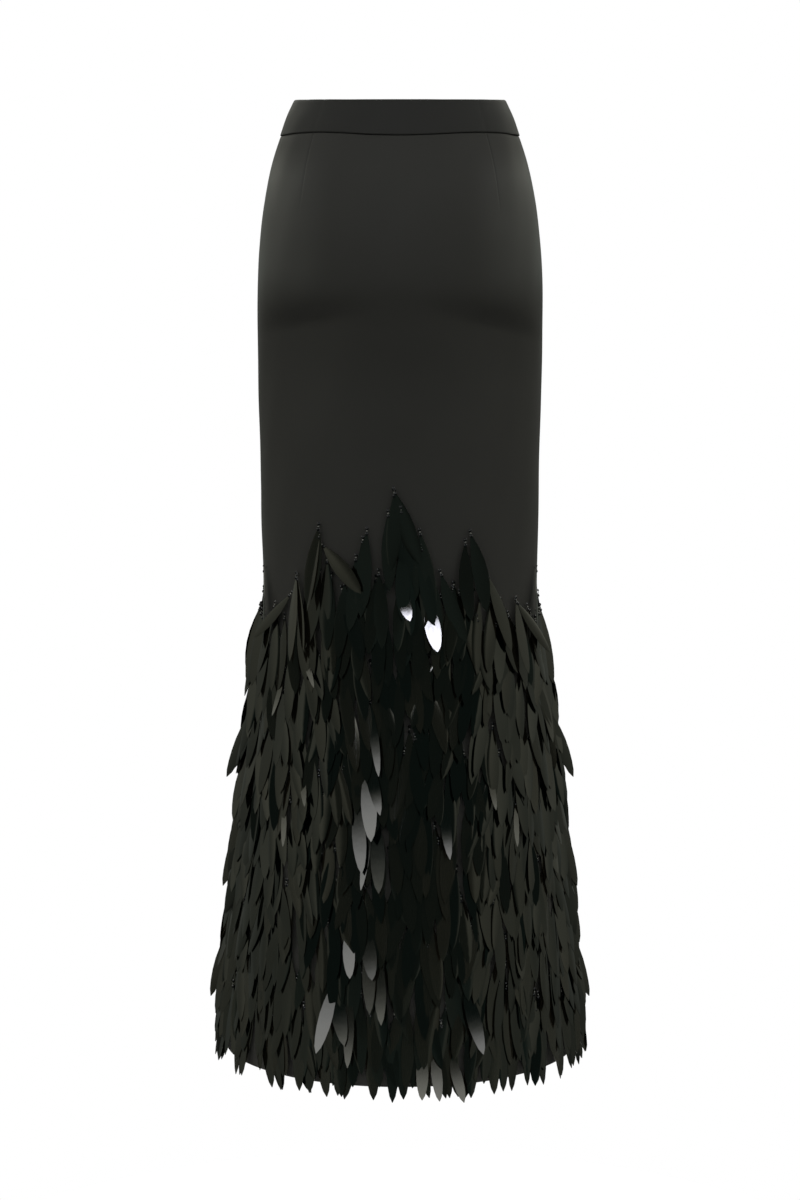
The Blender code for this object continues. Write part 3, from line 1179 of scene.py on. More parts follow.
FRONT_EDGE: tuple[PlacedLeaf, ...] = (
    PlacedLeaf(98, -0.542, 8, 0.086, tone=0.6),
    PlacedLeaf(106, -0.548, -9, 0.084, tone=0.5),
    PlacedLeaf(117, -0.530, 5, 0.087, tone=0.7),
    PlacedLeaf(124, -0.520, -14, 0.083, tone=0.4),
    PlacedLeaf(131, -0.500, 3, 0.086, tone=0.5),
    PlacedLeaf(137, -0.512, 16, 0.084, tone=0.3),
    PlacedLeaf(143, -0.464, -4, 0.088, tone=0.5),
    PlacedLeaf(145, -0.478, 12, 0.084, tone=0.3),
    PlacedLeaf(151, -0.505, -2, 0.085),
    PlacedLeaf(156, -0.498, 6, 0.086),
    PlacedLeaf(162, -0.490, -11, 0.084),
    PlacedLeaf(167, -0.452, 4, 0.086),
    PlacedLeaf(172, -0.470, -5, 0.085),
    PlacedLeaf(178, -0.418, -13, 0.086),
    PlacedLeaf(179, -0.424, 5, 0.084),
    PlacedLeaf(184, -0.452, 2, 0.086),
    PlacedLeaf(189, -0.470, 10, 0.085),
    PlacedLeaf(195, -0.500, -4, 0.086),
    PlacedLeaf(201, -0.510, 7, 0.084),
    PlacedLeaf(207, -0.492, -8, 0.086),
    PlacedLeaf(213, -0.472, 3, 0.088, tone=0.5),
    PlacedLeaf(216, -0.486, -17, 0.083, tone=0.4),
    PlacedLeaf(222, -0.515, 6, 0.086, tone=0.5),
    PlacedLeaf(227, -0.506, -3, 0.086, tone=0.5),
    PlacedLeaf(234, -0.526, 13, 0.083, tone=0.7),
    PlacedLeaf(241, -0.537, -6, 0.086, tone=0.6),
    PlacedLeaf(250, -0.544, 4, 0.085, tone=0.6),
    PlacedLeaf(259, -0.538, -8, 0.086, tone=0.7),
)

SIDE_SPIKES: tuple[PlacedLeaf, ...] = (
    PlacedLeaf(-88, -0.6715, -2, 0.088, twist=52, flare=0.010, tone=0.1),
    PlacedLeaf(88, -0.6715, 2, 0.088, twist=-52, flare=0.010, tone=0.1),
    PlacedLeaf(-87, -0.795, 2, 0.088, twist=45, flare=0.004, tone=0.8),
    PlacedLeaf(87, -0.795, -2, 0.088, twist=-45, flare=0.004, tone=0.8),
    PlacedLeaf(-89, -0.930, -2, 0.088, twist=50, flare=0.005, tone=0.8),
    PlacedLeaf(89, -0.930, 2, 0.088, twist=-50, flare=0.005, tone=0.8),
)


class GlintLeaf(NamedTuple):
    """One outer leaf that happens to hang so that its face mirrors a softbox to the camera.

    It is brightest that far down its length. Its turn and its rise, in degrees, are how far it
    misses the middle of the light sideways and upwards.
    """

    angle: float
    top: float
    lean: float
    width: float
    light: Key
    bow: float = 0.0007
    tone: float = 0.0
    brightest: float = 0.75
    cup: float = 0.0
    turn: float = 0.0
    rise: float = 0.0
    length: float = LEAF_LENGTH


GLINTS: tuple[GlintLeaf, ...] = (
    GlintLeaf(-1.4, -0.507, 17, 0.015, Key.SPARK, 0.00064, brightest=0.90, length=0.050),
    GlintLeaf(11.0, -0.531, 10, 0.0175, Key.SPARK, 0.00044, brightest=0.72, length=0.060),
    GlintLeaf(-11.8, -0.642, 10, 0.010, Key.LEFT, 0.0010, brightest=0.95),
    GlintLeaf(-14.1, -0.686, 16, 0.014, Key.LEFT, 0.0017, brightest=0.95),
    GlintLeaf(-12.7, -0.713, 8, 0.018, Key.LEFT),
    GlintLeaf(-16.2, -0.748, 9, 0.016, Key.LEFT, 0.0007, brightest=0.9),
    GlintLeaf(-10.2, -0.765, -4, 0.009, Key.LEFT, 0.0010, rise=-1.0),
    GlintLeaf(-8.5, -0.768, 5, 0.017, Key.LEFT, 0.0005, turn=2.0, rise=-2.8),
    GlintLeaf(15.1, -0.732, 2, 0.013, Key.RIGHT, 0.0014, brightest=0.95),
    GlintLeaf(-17.7, -0.889, 8, 0.014, Key.LEFT, 0.0003, length=0.060),
    GlintLeaf(-11.6, -0.886, 11, 0.017, Key.LEFT, 0.0005, tone=0.4, rise=-3.0, length=0.064),
    GlintLeaf(-10.7, -0.899, 5, 0.015, Key.LEFT, 0.0006, tone=0.8, turn=2.5, rise=-3.4),
    GlintLeaf(-7.4, -0.911, 6, 0.014, Key.LEFT, 0.0010, tone=0.6, turn=2.5, rise=-2.4),
    GlintLeaf(-21.2, -0.947, -8, 0.016, Key.LEFT, 0.0005),
    GlintLeaf(-23.4, -0.939, 16, 0.018, Key.LEFT, 0.0010, turn=2.0, rise=-3.0),
    GlintLeaf(-16.3, -0.959, 3, 0.012, Key.LEFT, 0.0010, tone=0.6, turn=2.0, rise=-2.0),
    GlintLeaf(20.9, -0.948, 8, 0.017, Key.RIGHT, 0.0011, brightest=0.95, turn=0.5),
    GlintLeaf(7.0, -1.018, 2, 0.014, Key.LEFT, 0.0008, tone=0.9, turn=2.0, length=0.062),
    GlintLeaf(10.7, -1.020, 0, 0.013, Key.RIGHT, 0.0007, tone=0.85, turn=-1.0, length=0.062),
    GlintLeaf(15.9, -1.026, 8, 0.013, Key.RIGHT, 0.0009, tone=0.85, turn=1.6, length=0.060),
    GlintLeaf(
        -53.3, -0.621, 3, 0.0065, Key.LEFT, 0.0008, tone=0.9, turn=-30, rise=-2, length=0.050
    ),
    GlintLeaf(
        -44.2, -0.587, 32, 0.007, Key.LEFT, 0.0008, tone=0.9, turn=-22, rise=-2.5, length=0.056
    ),
    GlintLeaf(
        -40.3, -0.717, 21, 0.008, Key.LEFT, 0.0008, tone=0.9, turn=-22, rise=-3, length=0.052
    ),
    GlintLeaf(
        -47.1, -0.762, 18, 0.0075, Key.LEFT, 0.0006, tone=0.9, turn=-26, rise=-1.5, length=0.054
    ),
    GlintLeaf(35.1, -0.717, -2, 0.008, Key.RIGHT, 0.0008, tone=0.9, turn=14, rise=-3, length=0.052),
    GlintLeaf(
        47.1, -0.762, -18, 0.0075, Key.RIGHT, 0.0006, tone=0.9, turn=23, rise=-1.5, length=0.054
    ),
)


class EdgePoint(NamedTuple):
    """The upper limit of the close coat at an angle from the centre back or the centre front."""

    angle: float
    top: float


COAT_EDGE: tuple[EdgePoint, ...] = (
    EdgePoint(angle=0, top=-0.486),
    EdgePoint(angle=20, top=-0.512),
    EdgePoint(angle=36, top=-0.524),
    EdgePoint(angle=50, top=-0.550),
    EdgePoint(angle=90, top=-0.554),
)


class SideLift(NamedTuple):
    """How much further the tips stand off at the side seams, at one height of the tips."""

    tip: float
    lift: float


SIDE_LIFTS: tuple[SideLift, ...] = (
    SideLift(tip=-1.0815, lift=0.0015),
    SideLift(tip=-1.019, lift=0.0065),
    SideLift(tip=-0.947, lift=0.0035),
    SideLift(tip=-0.858, lift=0.0030),
    SideLift(tip=-0.748, lift=0.0060),
    SideLift(tip=-0.665, lift=0.0030),
)


class Leaves(NamedTuple):
    """Numbers of many leaves, one entry a leaf, in degrees and metres.

    Each leaf's ends stand off the satin by root_off and tip_off. Its cup, bow and sickle are how
    far its edges curl down, its middle bends in and its middle bends sideways. Its aim is the way
    that its face is turned, nothing where it follows the satin, and brightest is how far down the
    leaf it looks exactly that way.
    """

    angle: np.ndarray
    top: np.ndarray
    lean: np.ndarray
    length: np.ndarray
    width: np.ndarray
    twist: np.ndarray
    root_off: np.ndarray
    tip_off: np.ndarray
    cup: np.ndarray
    bow: np.ndarray
    sickle: np.ndarray
    tone: np.ndarray
    aim: np.ndarray
    brightest: np.ndarray

    def tip(self) -> np.ndarray:
        """Height of each leaf's tip."""
        return self.top - self.length * np.cos(np.radians(self.lean))

    def only(self, keep: np.ndarray) -> "Leaves":
        """The leaves that keep picks."""
        return Leaves(*(numbers[keep] for numbers in self))


@dataclass
class LeafCoat:
    """The coat of leaf paillettes, each sewn on at its upper point with three seed beads.

    Rows of leaves climb the fishtail from the hem. Within a row they stand evenly round the skirt
    and are then unsettled in height, lean, twist, size and bend, as hand-sewn leaves are.
    """

    form: SkirtForm = field(default_factory=SkirtForm)
    seed: int = 11
    pitch_round: float = 0.0156
    pitch_down: float = 0.0272
    last_tip: float = -1.0800
    hem_step: float = 0.0140
    first_tip: float = -0.566
    edge_over: float = 0.016
    edge_under: float = 0.008
    length: float = LEAF_LENGTH
    lengths: Span = (0.93, 1.05)
    width: float = 0.0156
    widths: Span = (0.88, 1.08)
    film: float = 0.00035
    root_off: float = 0.0012
    root_step: float = 0.0010
    root_jitter: float = 0.0004
    tip_off: float = 0.0070
    tip_jitter: float = 0.0046
    side_power: int = 8
    jitter_round: float = 0.22
    jitter_down: float = 0.0120
    jitter_hem: float = 0.0025
    jitter_spreads: float = 1.6
    hem_rows: int = 2
    lean_spread: float = 9.5
    most_lean: float = 18.0
    plumb: float = 8.0
    twist_spread: float = 5.0
    turned_power: int = 12
    least_turn: float = 15.0
    most_turn: float = 60.0
    odd_share: float = 0.07
    odd_beyond: float = 14.0
    most_odd: float = 48.0
    steepest: float = 400.0
    cup: float = 0.0006
    cup_spread: float = 0.0003
    bow: float = 0.0002
    bow_spread: float = 0.0005
    sickle_spread: float = 0.0014
    tone_power: float = 1.5
    placed_seed: int = 50
    placed_off: float = 0.0030
    placed_cup_spread: float = 0.0002
    placed_bow_spread: float = 0.0003
    placed_sickle_spread: float = 0.0010
    glint_off: float = 0.0020
    stations: int = 9
    even_share: float = 0.5
    ribs: tuple[float, ...] = (-1.0, -0.6, 0.6, 1.0)
    map_step: float = 0.01
    end_width: float = 0.00035
    belly: float = 1.12
    slender: float = 0.85
    blunt: float = 0.30
    leaf_sharp: float = 60.0
    beads_down: tuple[float, ...] = (-0.0029, 0.0002, 0.0033)
    bead_shines: tuple[float, ...] = (0.0, 1.0, 0.0)
    bead_sizes: tuple[float, ...] = (1.25, 0.62, 1.25)
    bead_ring: float = 0.00085
    bead_tube: float = 0.00078
    bead_rest: float = 0.9
    bead_sides: int = 3
    bead_turns: int = 6
    thread: float = 0.00022
    stitch_over: float = 0.0016
    stitch_under: float = 0.0002
    stitch_arch: float = 0.0011
    stitch_start: float = 0.5
    stitch_stations: int = 5
    trim_sharp: float = 80.0

    def edge(self, angle: np.ndarray) -> np.ndarray:
        """Upper limit of the close coat, from its table by the angle from the nearer centre."""
        from_back = np.abs((angle + 180) % 360 - 180)
        from_centre = np.minimum(from_back, 180 - from_back)
        table = np.array(COAT_EDGE)
        return np.interp(from_centre, table[:, 0], table[:, 1])

    def side_lift(self, angle: np.ndarray, tip: np.ndarray) -> np.ndarray:
        """Extra lift of the tips near the side seams: a table's, times a high power of the sine."""
        table = np.array(SIDE_LIFTS)
        lift = np.interp(tip, table[:, 0], table[:, 1])
        return lift * np.sin(np.radians(angle)) ** self.side_power

    def twists(self, angle: np.ndarray, chance: np.random.Generator) -> np.ndarray:
        """How far each leaf of the close coat is turned about its length.

        Most are turned a little either way. Near the side seams, by a high power of the sine, they
        swing round to face the back or the front. A few elsewhere hang turned that way too.

        Args:
            angle: The leaves' angles.
            chance: Where the unevenness comes from.

        Returns:
            The twists.
        """
        turn = np.radians(angle)
        inwards = -np.sign(np.cos(turn)) * np.sign(np.sin(turn))
        beside = np.sin(turn) ** self.turned_power
        turned = beside * chance.uniform(self.least_turn, self.most_turn, len(angle))
        from_centre = np.degrees(np.arcsin(np.abs(np.sin(turn))))
        odd = np.where(chance.uniform(0, 1, len(angle)) < self.odd_share, 1.0, 0.0)
        swung = odd * np.clip(from_centre - self.odd_beyond, 0, self.most_odd) * (1 - beside)
        return chance.normal(0, self.twist_spread, len(angle)) + inwards * (turned + swung)

    def row(self, number: int, tip: float, jitter: float) -> Leaves:
        """One row of the close coat.

        A leaf that is turned and leans the same way would face upwards, so it hangs straighter.

        Args:
            number: The row's number from the hem, which also seeds its unevenness.
            tip: The mean height of its tips.
            jitter: The spread of its tips' heights.

        Returns:
            The row's leaves, those above the coat's upper limit left out.
        """
        chance = np.random.default_rng(self.seed * 100 + number)
        outline = self.form.metres_per_degree(np.arange(360.0), np.full(360, tip)).sum()
        count = round(outline / self.pitch_round / 2) * 2
        angle = self.form.evenly_round(count, tip, 0.5 * (number % 2))
        angle = angle + chance.normal(0, self.jitter_round * 360 / count, count)
        length = self.length * chance.uniform(*self.lengths, count)
        lean = np.clip(chance.normal(0, self.lean_spread, count), -self.most_lean, self.most_lean)
        lean = lean - self.plumb * np.sin(2 * np.radians(angle))
        drop = length * np.cos(np.radians(lean))
        uneven = chance.normal(0, jitter / self.jitter_spreads, count)
        top = tip + np.clip(uneven, -jitter, jitter) + drop
        limit = self.edge(angle)
        keep = top < limit + self.edge_over
        top = np.minimum(top, limit - chance.uniform(0, self.edge_under, count))
        ragged = self.tip_jitter * chance.uniform(0, 1, count)
        leaves = Leaves(
            angle=angle,
            top=top,
            lean=lean,
            length=length,
            width=self.width * chance.uniform(*self.widths, count),
            twist=self.twists(angle, chance),
            root_off=self.root_off
            + self.root_step * (np.arange(count) % 2)
            + chance.uniform(0, self.root_jitter, count),
            tip_off=self.tip_off + ragged + self.side_lift(angle, top - drop),
            cup=chance.normal(self.cup, self.cup_spread, count),
            bow=chance.normal(self.bow, self.bow_spread, count),
            sickle=chance.normal(0, self.sickle_spread, count),
            tone=chance.uniform(0, 1, count) ** self.tone_power,
            aim=np.zeros((count, 3)),
            brightest=np.full(count, 0.5),
        )
        steep = np.maximum(leaves.lean * leaves.twist / self.steepest, 1.0)
        return leaves._replace(lean=leaves.lean / steep).only(keep)

    def placed(self, table: Sequence[PlacedLeaf], number: int) -> Leaves:
        """The leaves of a table.

        Args:
            table: The leaves' places.
            number: Seeds the small unevenness that the table leaves open.

        Returns:
            The leaves.
        """
        chance = np.random.default_rng(self.seed * 100 + number)
        rows = np.array(table, dtype=float)
        angle, top, lean, length, width, twist, flare, bow, tone, bearing, rise = rows.T
        tip = top - length * np.cos(np.radians(lean))
        return Leaves(
            angle=angle,
            top=top,
            lean=lean,
            length=length,
            width=width,
            twist=twist,
            root_off=np.full(len(rows), self.root_off + 2 * self.root_step),
            tip_off=self.tip_off + self.placed_off + flare + self.side_lift(angle, tip),
            cup=chance.normal(self.cup, self.placed_cup_spread, len(rows)),
            bow=bow + chance.normal(self.bow, self.placed_bow_spread, len(rows)),
            sickle=chance.normal(0, self.placed_sickle_spread, len(rows)),
            tone=tone,
            aim=np.nan_to_num(towards(bearing, rise), nan=0.0)
            * np.isfinite(bearing).astype(float)[:, None],
            brightest=np.full(len(rows), 0.5),
        )

    def glints(self, table: Sequence[GlintLeaf]) -> Leaves:
        """The outer leaves that mirror a softbox: each face lies midway between it and the camera.

        Args:
            table: The leaves' places and their lights.

        Returns:
            The leaves.
        """
        rows = np.array([[*leaf[:4], *leaf[5:]] for leaf in table], dtype=float)
        angle, top, lean, width, bow, tone, brightest, cup, turn, rise, length = rows.T
        middle = self.form.point(angle, top - length / 2, self.tip_off)
        boxes = np.array([leaf.light.value[:2] for leaf in table])
        lights = towards(boxes[:, 0] + 2 * turn, boxes[:, 1] + rise)
        nothing = np.zeros(len(rows))
        return Leaves(
            angle=angle,
            top=top,
            lean=lean,
            length=length,
            width=width,
            twist=nothing,
            root_off=nothing + self.glint_off,
            tip_off=nothing + self.tip_off,
            cup=cup,
            bow=bow,
            sickle=nothing,
            tone=tone,
            aim=unit(unit(np.array(CAMERA_PLACE) - middle) + lights),
            brightest=brightest,
        )

    def all_leaves(self) -> Leaves:
        """Every leaf: the rows from the hem upwards, then the placed ones."""
        tips = [self.last_tip, self.last_tip + self.hem_step]
        tips += list(np.arange(self.last_tip + self.pitch_down, self.first_tip, self.pitch_down))
        batches = [
            self.row(number, tip, self.jitter_hem if number < self.hem_rows else self.jitter_down)
            for number, tip in enumerate(tips)
        ]
        tables = (BACK_EDGE, FRONT_EDGE, SIDE_SPIKES)
        for number, table in enumerate(tables, start=self.placed_seed):
            batches.append(self.placed(table, number))
        batches.append(self.glints(GLINTS))
        return Leaves(*(np.concatenate(column) for column in zip(*batches)))

    def frames(
        self, leaves: Leaves
    ) -> tuple[np.ndarray, np.ndarray, np.ndarray, np.ndarray]:
        """Where each leaf hangs and which way it faces.

        Its root lies on the form, and its tip on the form's surface one length further down the
        lean, each at its own distance off. The face is the form's normal there, squared to that
        line and turned about it by the twist. A leaf with an aim faces that way instead at its
        brightest place, and hangs down square to it.

        Args:
            leaves: The leaves.

        Returns:
            The root points, and unit vectors down each leaf, across it to the right and out of its
            face.
        """
        lean, twist = np.radians(leaves.lean), np.radians(leaves.twist)[:, None]
        tip_z = leaves.top - leaves.length * np.cos(lean)
        middle_z = (leaves.top + tip_z) / 2
        degree = self.form.metres_per_degree(leaves.angle, middle_z)
        sideways = leaves.length * np.sin(lean) / degree
        root = self.form.point(leaves.angle, leaves.top, leaves.root_off)
        tip = self.form.point(leaves.angle + sideways, tip_z, leaves.tip_off)
        down = unit(tip - root)
        out = self.form.normal(leaves.angle + sideways / 2, middle_z)
        out = unit(out - down * (out * down).sum(axis=-1, keepdims=True))
        across = np.cross(out, down)
        face = out * np.cos(twist) + across * np.sin(twist)
        aimed = np.linalg.norm(leaves.aim, axis=-1, keepdims=True) > 0
        squared = unit(down - leaves.aim * (leaves.aim * down).sum(axis=-1, keepdims=True))
        bend = (4 * (2 * leaves.brightest - 1) * leaves.bow / leaves.length)[:, None]
        squared, aim = unit(squared - leaves.aim * bend), unit(leaves.aim + squared * bend)
        down, face = np.where(aimed, squared, down), np.where(aimed, aim, face)
        return root, down, np.cross(face, down), face

    def half_width(self, s: np.ndarray) -> np.ndarray:
        """Half the width as a share of its widest: a sine arch, slender above and blunter below."""
        arch = np.maximum(np.sin(math.pi * s**self.belly), 0)
        return arch ** (self.slender - self.blunt * s)

    def surface(self, leaves: Leaves) -> Surface:
        """Each leaf as a closed film: stations along it, closer at its ends, and ribs across it.

        Along the leaf the film follows a shallow parabola out of its plane, its bow, and another in
        it, its sickle. Across it is flat in the middle and curls down at its edges, its cup, by the
        fourth power of the distance from its middle.

        Args:
            leaves: The leaves.

        Returns:
            All of them joined.
        """
        root, down, across, face = (each[:, None, None, :] for each in self.frames(leaves))
        one = (slice(None), None, None)
        even = np.linspace(0, 1, self.stations)[None, :, None]
        s = self.even_share * even + (1 - self.even_share) * (1 - np.cos(math.pi * even)) / 2
        u = np.array(self.ribs)[None, None, :]
        arch = 4 * s * (1 - s)
        shape = self.half_width(s)
        half = np.maximum(leaves.width[one] / 2 * shape, self.end_width)
        out = -leaves.bow[one] * arch - leaves.cup[one] * u**4 * shape
        side = half * u + leaves.sickle[one] * arch
        along = leaves.length[one] * s * np.ones_like(u)
        middle = root + down * along[..., None] + across * side[..., None] + face * out[..., None]
        thick = face * self.film / 2 * np.ones_like(middle)
        both = np.stack([middle + thick, middle - thick], axis=1)
        beside = side + leaves.angle[one] * self.map_step
        flat = np.stack([beside, -along - leaves.top[one]], axis=-1)
        flat = np.stack([flat, flat], axis=1).reshape(len(leaves.angle), -1, 2)
        points = both.reshape(len(leaves.angle), -1, 3)
        joined = Surface.repeated(points, shell_faces(self.stations, len(self.ribs)), flat)
        joined.values["tone"] = np.repeat(leaves.tone, points.shape[1])
        return joined

    def bead_centres(
        self, leaves: Leaves, down_it: float
    ) -> tuple[np.ndarray, np.ndarray, np.ndarray, np.ndarray]:
        """The middle of a seed bead on each leaf, with the leaf's directions there.

        Args:
            leaves: The leaves.
            down_it: How far down the leaf the bead sits.

        Returns:
            The beads' middles, and unit vectors down each leaf, across it and out of its face.
        """
        root, down, across, face = self.frames(leaves)
        lift = self.film / 2 + self.bead_tube * self.bead_rest
        return root + down * down_it + face * lift, down, across, face

    def beads(self, leaves: Leaves) -> Surface:
        """Three small rings of glass down each leaf's top: each a circle carried round a circle.

        Args:
            leaves: The leaves.

        Returns:
            All the beads joined, each with its shine.
        """
        sides, turns = self.bead_sides, self.bead_turns
        turn = np.linspace(0, 2 * math.pi, turns, endpoint=False)[None, :, None, None]
        tube = (np.arange(sides) * (2 * math.pi / sides))[None, None, :, None]
        stacks = []
        for down_it, size in zip(self.beads_down, self.bead_sizes):
            frame = (each[:, None, None, :] for each in self.bead_centres(leaves, down_it))
            centre, down, across, face = frame
            spoke = across * np.cos(turn) + down * np.sin(turn)
            reach = self.bead_ring + self.bead_tube * np.cos(tube)
            points = centre + (spoke * reach + face * self.bead_tube * np.sin(tube)) * size
            stacks.append(points.reshape(len(leaves.angle), -1, 3))
        points = np.concatenate(stacks)
        joined = Surface.repeated(points, ring_faces(turns, sides, True), points[..., [0, 2]])
        joined.values["shine"] = np.repeat(self.bead_shines, len(leaves.angle) * sides * turns)
        return joined

    def stitches(self, leaves: Leaves) -> Surface:
        """A stitch of thread from each leaf's lowest bead up over its end and into the satin.

        Its path is an arch: it starts in the bead's hole, stands a little proud above the leaf's
        end and goes down into the cloth past it. Four sides are carried along it.

        Args:
            leaves: The leaves.

        Returns:
            All the stitches joined.
        """
        centre, _, across, face = self.bead_centres(leaves, self.beads_down[-1])
        start = (centre - face * self.bead_tube * self.stitch_start)[:, None, :]
        above = leaves.top + self.stitch_over
        into = self.form.point(leaves.angle, above, -self.stitch_under)[:, None, :]
        t = np.linspace(0, 1, self.stitch_stations)[None, :, None]
        path = start * (1 - t) + into * t + face[:, None, :] * (self.stitch_arch * 4 * t * (1 - t))
        tangent = unit(np.gradient(path, axis=1))
        across = across[:, None, :]
        side = unit(across - tangent * (across * tangent).sum(axis=-1, keepdims=True))
        lift = np.cross(tangent, side)
        turn = (np.arange(4) * math.pi / 2)[None, None, :, None]
        ring = side[:, :, None, :] * np.cos(turn) + lift[:, :, None, :] * np.sin(turn)
        points = (path[:, :, None, :] + ring * self.thread).reshape(len(leaves.angle), -1, 3)
        faces = ring_faces(self.stitch_stations, 4, False)
        return Surface.repeated(points, faces, points[..., [0, 2]])

    def dress(
        self,
        film: bpy.types.Material,
        glass: bpy.types.Material,
        thread: bpy.types.Material,
    ) -> None:
        """Make the leaves, beads and stitches. Each band of leaves replaces the plain row there.

        Args:
            film: The leaves' finish.
            glass: The beads' finish.
            thread: The stitches' finish.
        """
        leaves = self.all_leaves()
        logger.info("%d leaves", len(leaves.angle))
        rows = np.array([lift.tip for lift in SIDE_LIFTS])[::-1]
        band = np.abs(leaves.tip()[:, None] - rows).argmin(axis=1)
        for number in range(len(rows)):
            surface = self.surface(leaves.only(band == number))
            made = surface.piece(f"leaves_{number + 1}", film, self.leaf_sharp)
            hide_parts(f"leaf_row_{number + 1}")
            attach(made, "root")
        beads = self.beads(leaves).piece("seed_beads", glass, self.trim_sharp)
        stitches = self.stitches(leaves).piece("leaf_stitches", thread, self.trim_sharp)
        for made, slot in ((beads, Slot.LEAF), (stitches, Slot.SATIN)):
            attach(made, "root")


# ---------------------------------------------------------------------------------------------
# Studio
# ---------------------------------------------------------------------------------------------


@dataclass(frozen=True)
class Studio:
    """A white studio: a soft ring of light high up, lit flanks, and darker on the camera's side.

    Bearings run in degrees from the camera's side at -Y towards +X, and strengths are radiances
    beside the one of the white that shows behind the skirt. A span is where a smooth step starts
    and where it ends: in bearings for an edge, and in elevations for a rise or a fall.
    """

    ground_rise: Span = (-14.0, 0.0)
    below: float = 0.10
    camera_side: float = 0.060
    level_gain: float = 0.9
    level_fall: Span = (10.0, 3.0)
    level_edge: Span = (60.0, 35.0)
    flank: float = 0.47
    flank_low: float = 0.36
    flank_edge: Span = (40.0, 51.0)
    flank_rise: Span = (3.0, 19.0)
    flank_slant: float = 1.2
    slant_middle: float = 8.0
    rear_glow: float = 0.75
    rear_edge: Span = (96.0, 132.0)
    rear_rise: Span = (4.0, 16.0)
    rear_fall: Span = (34.0, 20.0)
    sides_fall: Span = (44.0, 28.0)
    ring: float = 2.20
    ring_rear: float = 0.50
    ring_edge: Span = (105.0, 60.0)
    ring_rise: Span = (26.0, 32.0)
    ring_fall: Span = (44.0, 36.0)
    shown: float = 1.0
    cool: Colour = (0.68, 1.0, 0.95)
    warm: Colour = (1.0, 0.99, 0.86)
    clean: Colour = (1.0, 1.0, 1.0)
    cold: Colour = (1.0, 1.0, 1.3)

    def light(self) -> None:
        """Make the world that lights the skirt and shows plain white behind it.

        Its radiance is a sum of smooth steps over bearing and elevation, in four tints.
        """
        world = bpy.data.worlds.new("studio")
        world.use_nodes = True
        bpy.context.scene.world = world
        graph = ShaderGraph(world.node_tree)
        x, y, z = graph.axes(graph.node("ShaderNodeTexCoord").outputs["Generated"])
        bearing = x.maths("ARCTAN2", x, y * -1.0) * math.degrees(1)
        elevation = z.maths("ARCSINE", z) * math.degrees(1)
        apart = bearing.maths("ABSOLUTE", bearing)
        above = self.below + (1 - self.below) * elevation.step(*self.ground_rise)
        level = elevation.step(*self.level_fall) * apart.step(*self.level_edge)
        near = self.camera_side * above * (1 + self.level_gain * level)
        slanted = apart - self.flank_slant * (elevation - self.slant_middle)
        raised = self.flank_low + (1 - self.flank_low) * elevation.step(*self.flank_rise)
        flanks = self.flank * slanted.step(*self.flank_edge) * raised
        glow = self.rear_glow * apart.step(*self.rear_edge)
        glow = glow * elevation.step(*self.rear_rise) * elevation.step(*self.rear_fall)
        sides = (flanks + glow) * above * elevation.step(*self.sides_fall)
        ring = self.ring * elevation.step(*self.ring_rise) * elevation.step(*self.ring_fall)
        ring = ring * (self.ring_rear + (1 - self.ring_rear) * apart.step(*self.ring_edge))
        boxes = sum((self._box(bearing, elevation, key.value) for key in Key), 0.0)
        colour = graph.tinted(self.cool, near)
        for tint, part in ((self.warm, sides), (self.clean, ring), (self.cold, boxes)):
            colour = graph.added(colour, graph.tinted(tint, part))
        lit = graph.node("ShaderNodeBackground", None, {"Color": colour, "Strength": 1.0})
        plain = {"Color": (*self.clean, 1.0), "Strength": self.shown}
        white = graph.node("ShaderNodeBackground", None, plain)
        seen = graph.node("ShaderNodeLightPath").outputs["Is Camera Ray"]
        mixed = graph.node(
            "ShaderNodeMixShader", None, {0: seen, 1: lit.outputs[0], 2: white.outputs[0]}
        )
        graph.node("ShaderNodeOutputWorld", None, {"Surface": mixed.outputs[0]})

    @staticmethod
    def _box(bearing: Signal, elevation: Signal, box: Softbox) -> Signal:
        """One softbox's radiance: a smooth step down from its middle each way.

        Args:
            bearing: The bearing looked along.
            elevation: The elevation looked along.
            box: The softbox.

        Returns:
            Its radiance there.
        """
        sideways = bearing.maths("ABSOLUTE", bearing - box.bearing)
        upwards = elevation.maths("ABSOLUTE", elevation - box.elevation)
        across = sideways.step(box.half_width + box.soft, box.half_width - box.soft)
        along = upwards.step(box.half_height + box.soft, box.half_height - box.soft)
        return box.strength * across * along


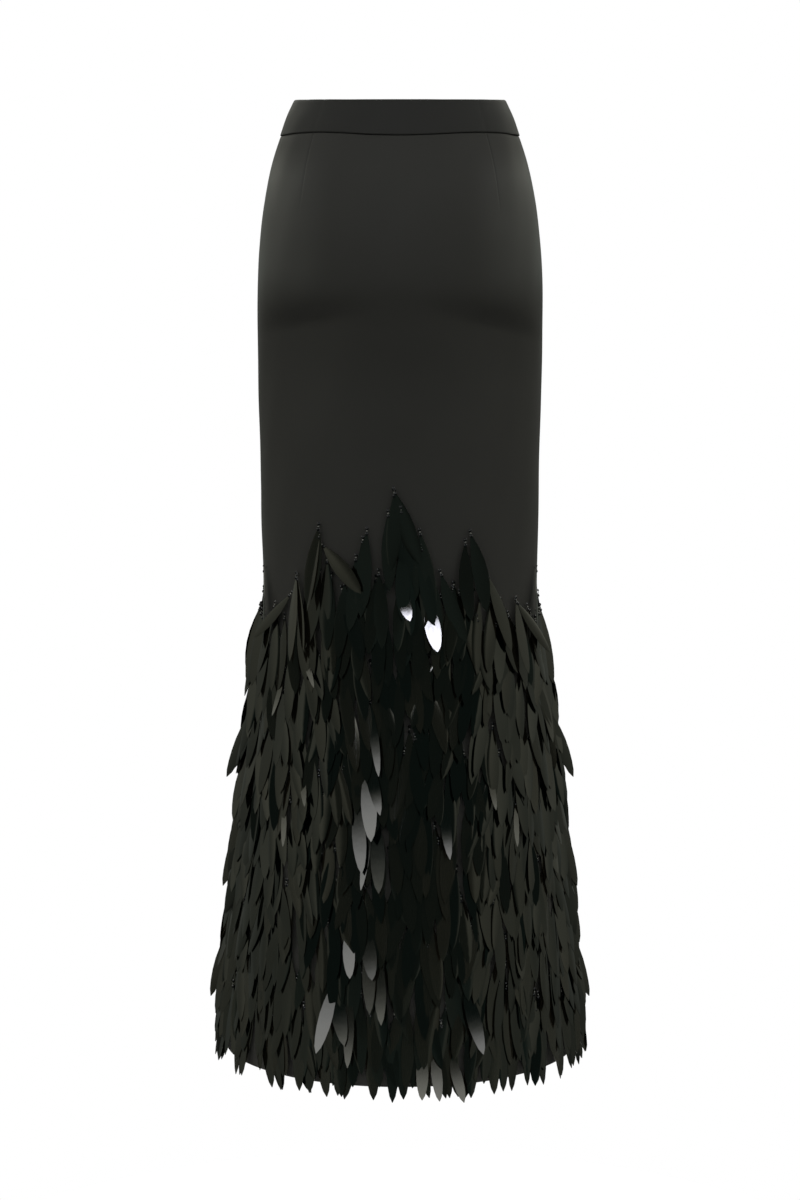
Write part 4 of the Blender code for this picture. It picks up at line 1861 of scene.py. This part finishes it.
@dataclass(frozen=True)
class Floor:
    """A plain pale disc under the skirt, which glows a little."""

    z: float = -1.4000
    radius: float = 0.62
    rings: int = 12
    spokes: int = 96
    thickness: float = 0.01
    middle: float = 0.002
    spread: float = 1.5
    roughness: float = 0.8
    mottle: float = 6.0
    glow: float = 0.75
    pale: Colour = (0.90, 0.90, 0.92)
    paler: Colour = (0.93, 0.93, 0.95)

    def lay(self) -> bpy.types.Object:
        """Make the disc: rings of points round its middle, with an underside below them.

        Returns:
            The floor, which is no part of the skirt.
        """
        radii = np.linspace(self.middle, 1.0, self.rings)[:, None] ** self.spread * self.radius
        turn = np.linspace(0, 2 * math.pi, self.spokes, endpoint=False)[None, :]
        level = np.full((self.rings, self.spokes), self.z)
        top = np.stack([radii * np.cos(turn), radii * np.sin(turn), level], axis=-1)
        under = top[::-1] - np.array([0, 0, self.thickness])
        points = np.concatenate([top, under]).reshape(-1, 3)
        faces = ring_faces(2 * self.rings, self.spokes, True)[:, ::-1]
        glow = {"Emission Color": (*self.pale, 1.0), "Emission Strength": self.glow}
        material, graph, surface = surfaced("pale_floor", {"Roughness": self.roughness, **glow})
        mottled = graph.blend(self.pale, self.paler, graph.noise(graph.place(), self.mottle))
        graph.tree.links.new(mottled, surface.inputs["Base Color"])
        disc = Surface(points, faces, points[:, :2]).piece("floor", material)
        return disc


@dataclass(frozen=True)
class ViewPoint:
    """The camera: its place, how far it looks down and its lens."""

    place: tuple[float, float, float] = CAMERA_PLACE
    looks_down: float = 8.2504
    lens: float = 97.926
    far: float = 50.0

    def set(self) -> None:
        """Make the camera the scene's own."""
        camera = bpy.data.objects.new("camera", bpy.data.cameras.new("camera"))
        camera.data.lens = self.lens
        camera.data.clip_end = self.far
        camera.location = self.place
        camera.rotation_euler = (math.radians(90 - self.looks_down), 0, 0)
        bpy.context.scene.collection.objects.link(camera)
        bpy.context.scene.camera = camera


def main() -> None:
    """Build every piece of the skirt, then the studio round it."""
    logging.basicConfig(level=logging.INFO, format="%(message)s")
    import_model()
    satin, darker_band = SatinFinish().material(), DARKER_BAND_SATIN.material()
    band, panel = Waistband(), SatinPanel()
    for half in Half:
        band.half(half, darker_band)
        panel.half(half, satin)
    film, glass = PailletteFinish().material(), BeadFinish().material()
    LeafCoat().dress(film, glass, ThreadFinish().material())
    Floor().lay()
    Studio().light()
    ViewPoint().set()
    bpy.context.scene.view_settings.view_transform = "Standard"


if __name__ == "__main__":
    main()
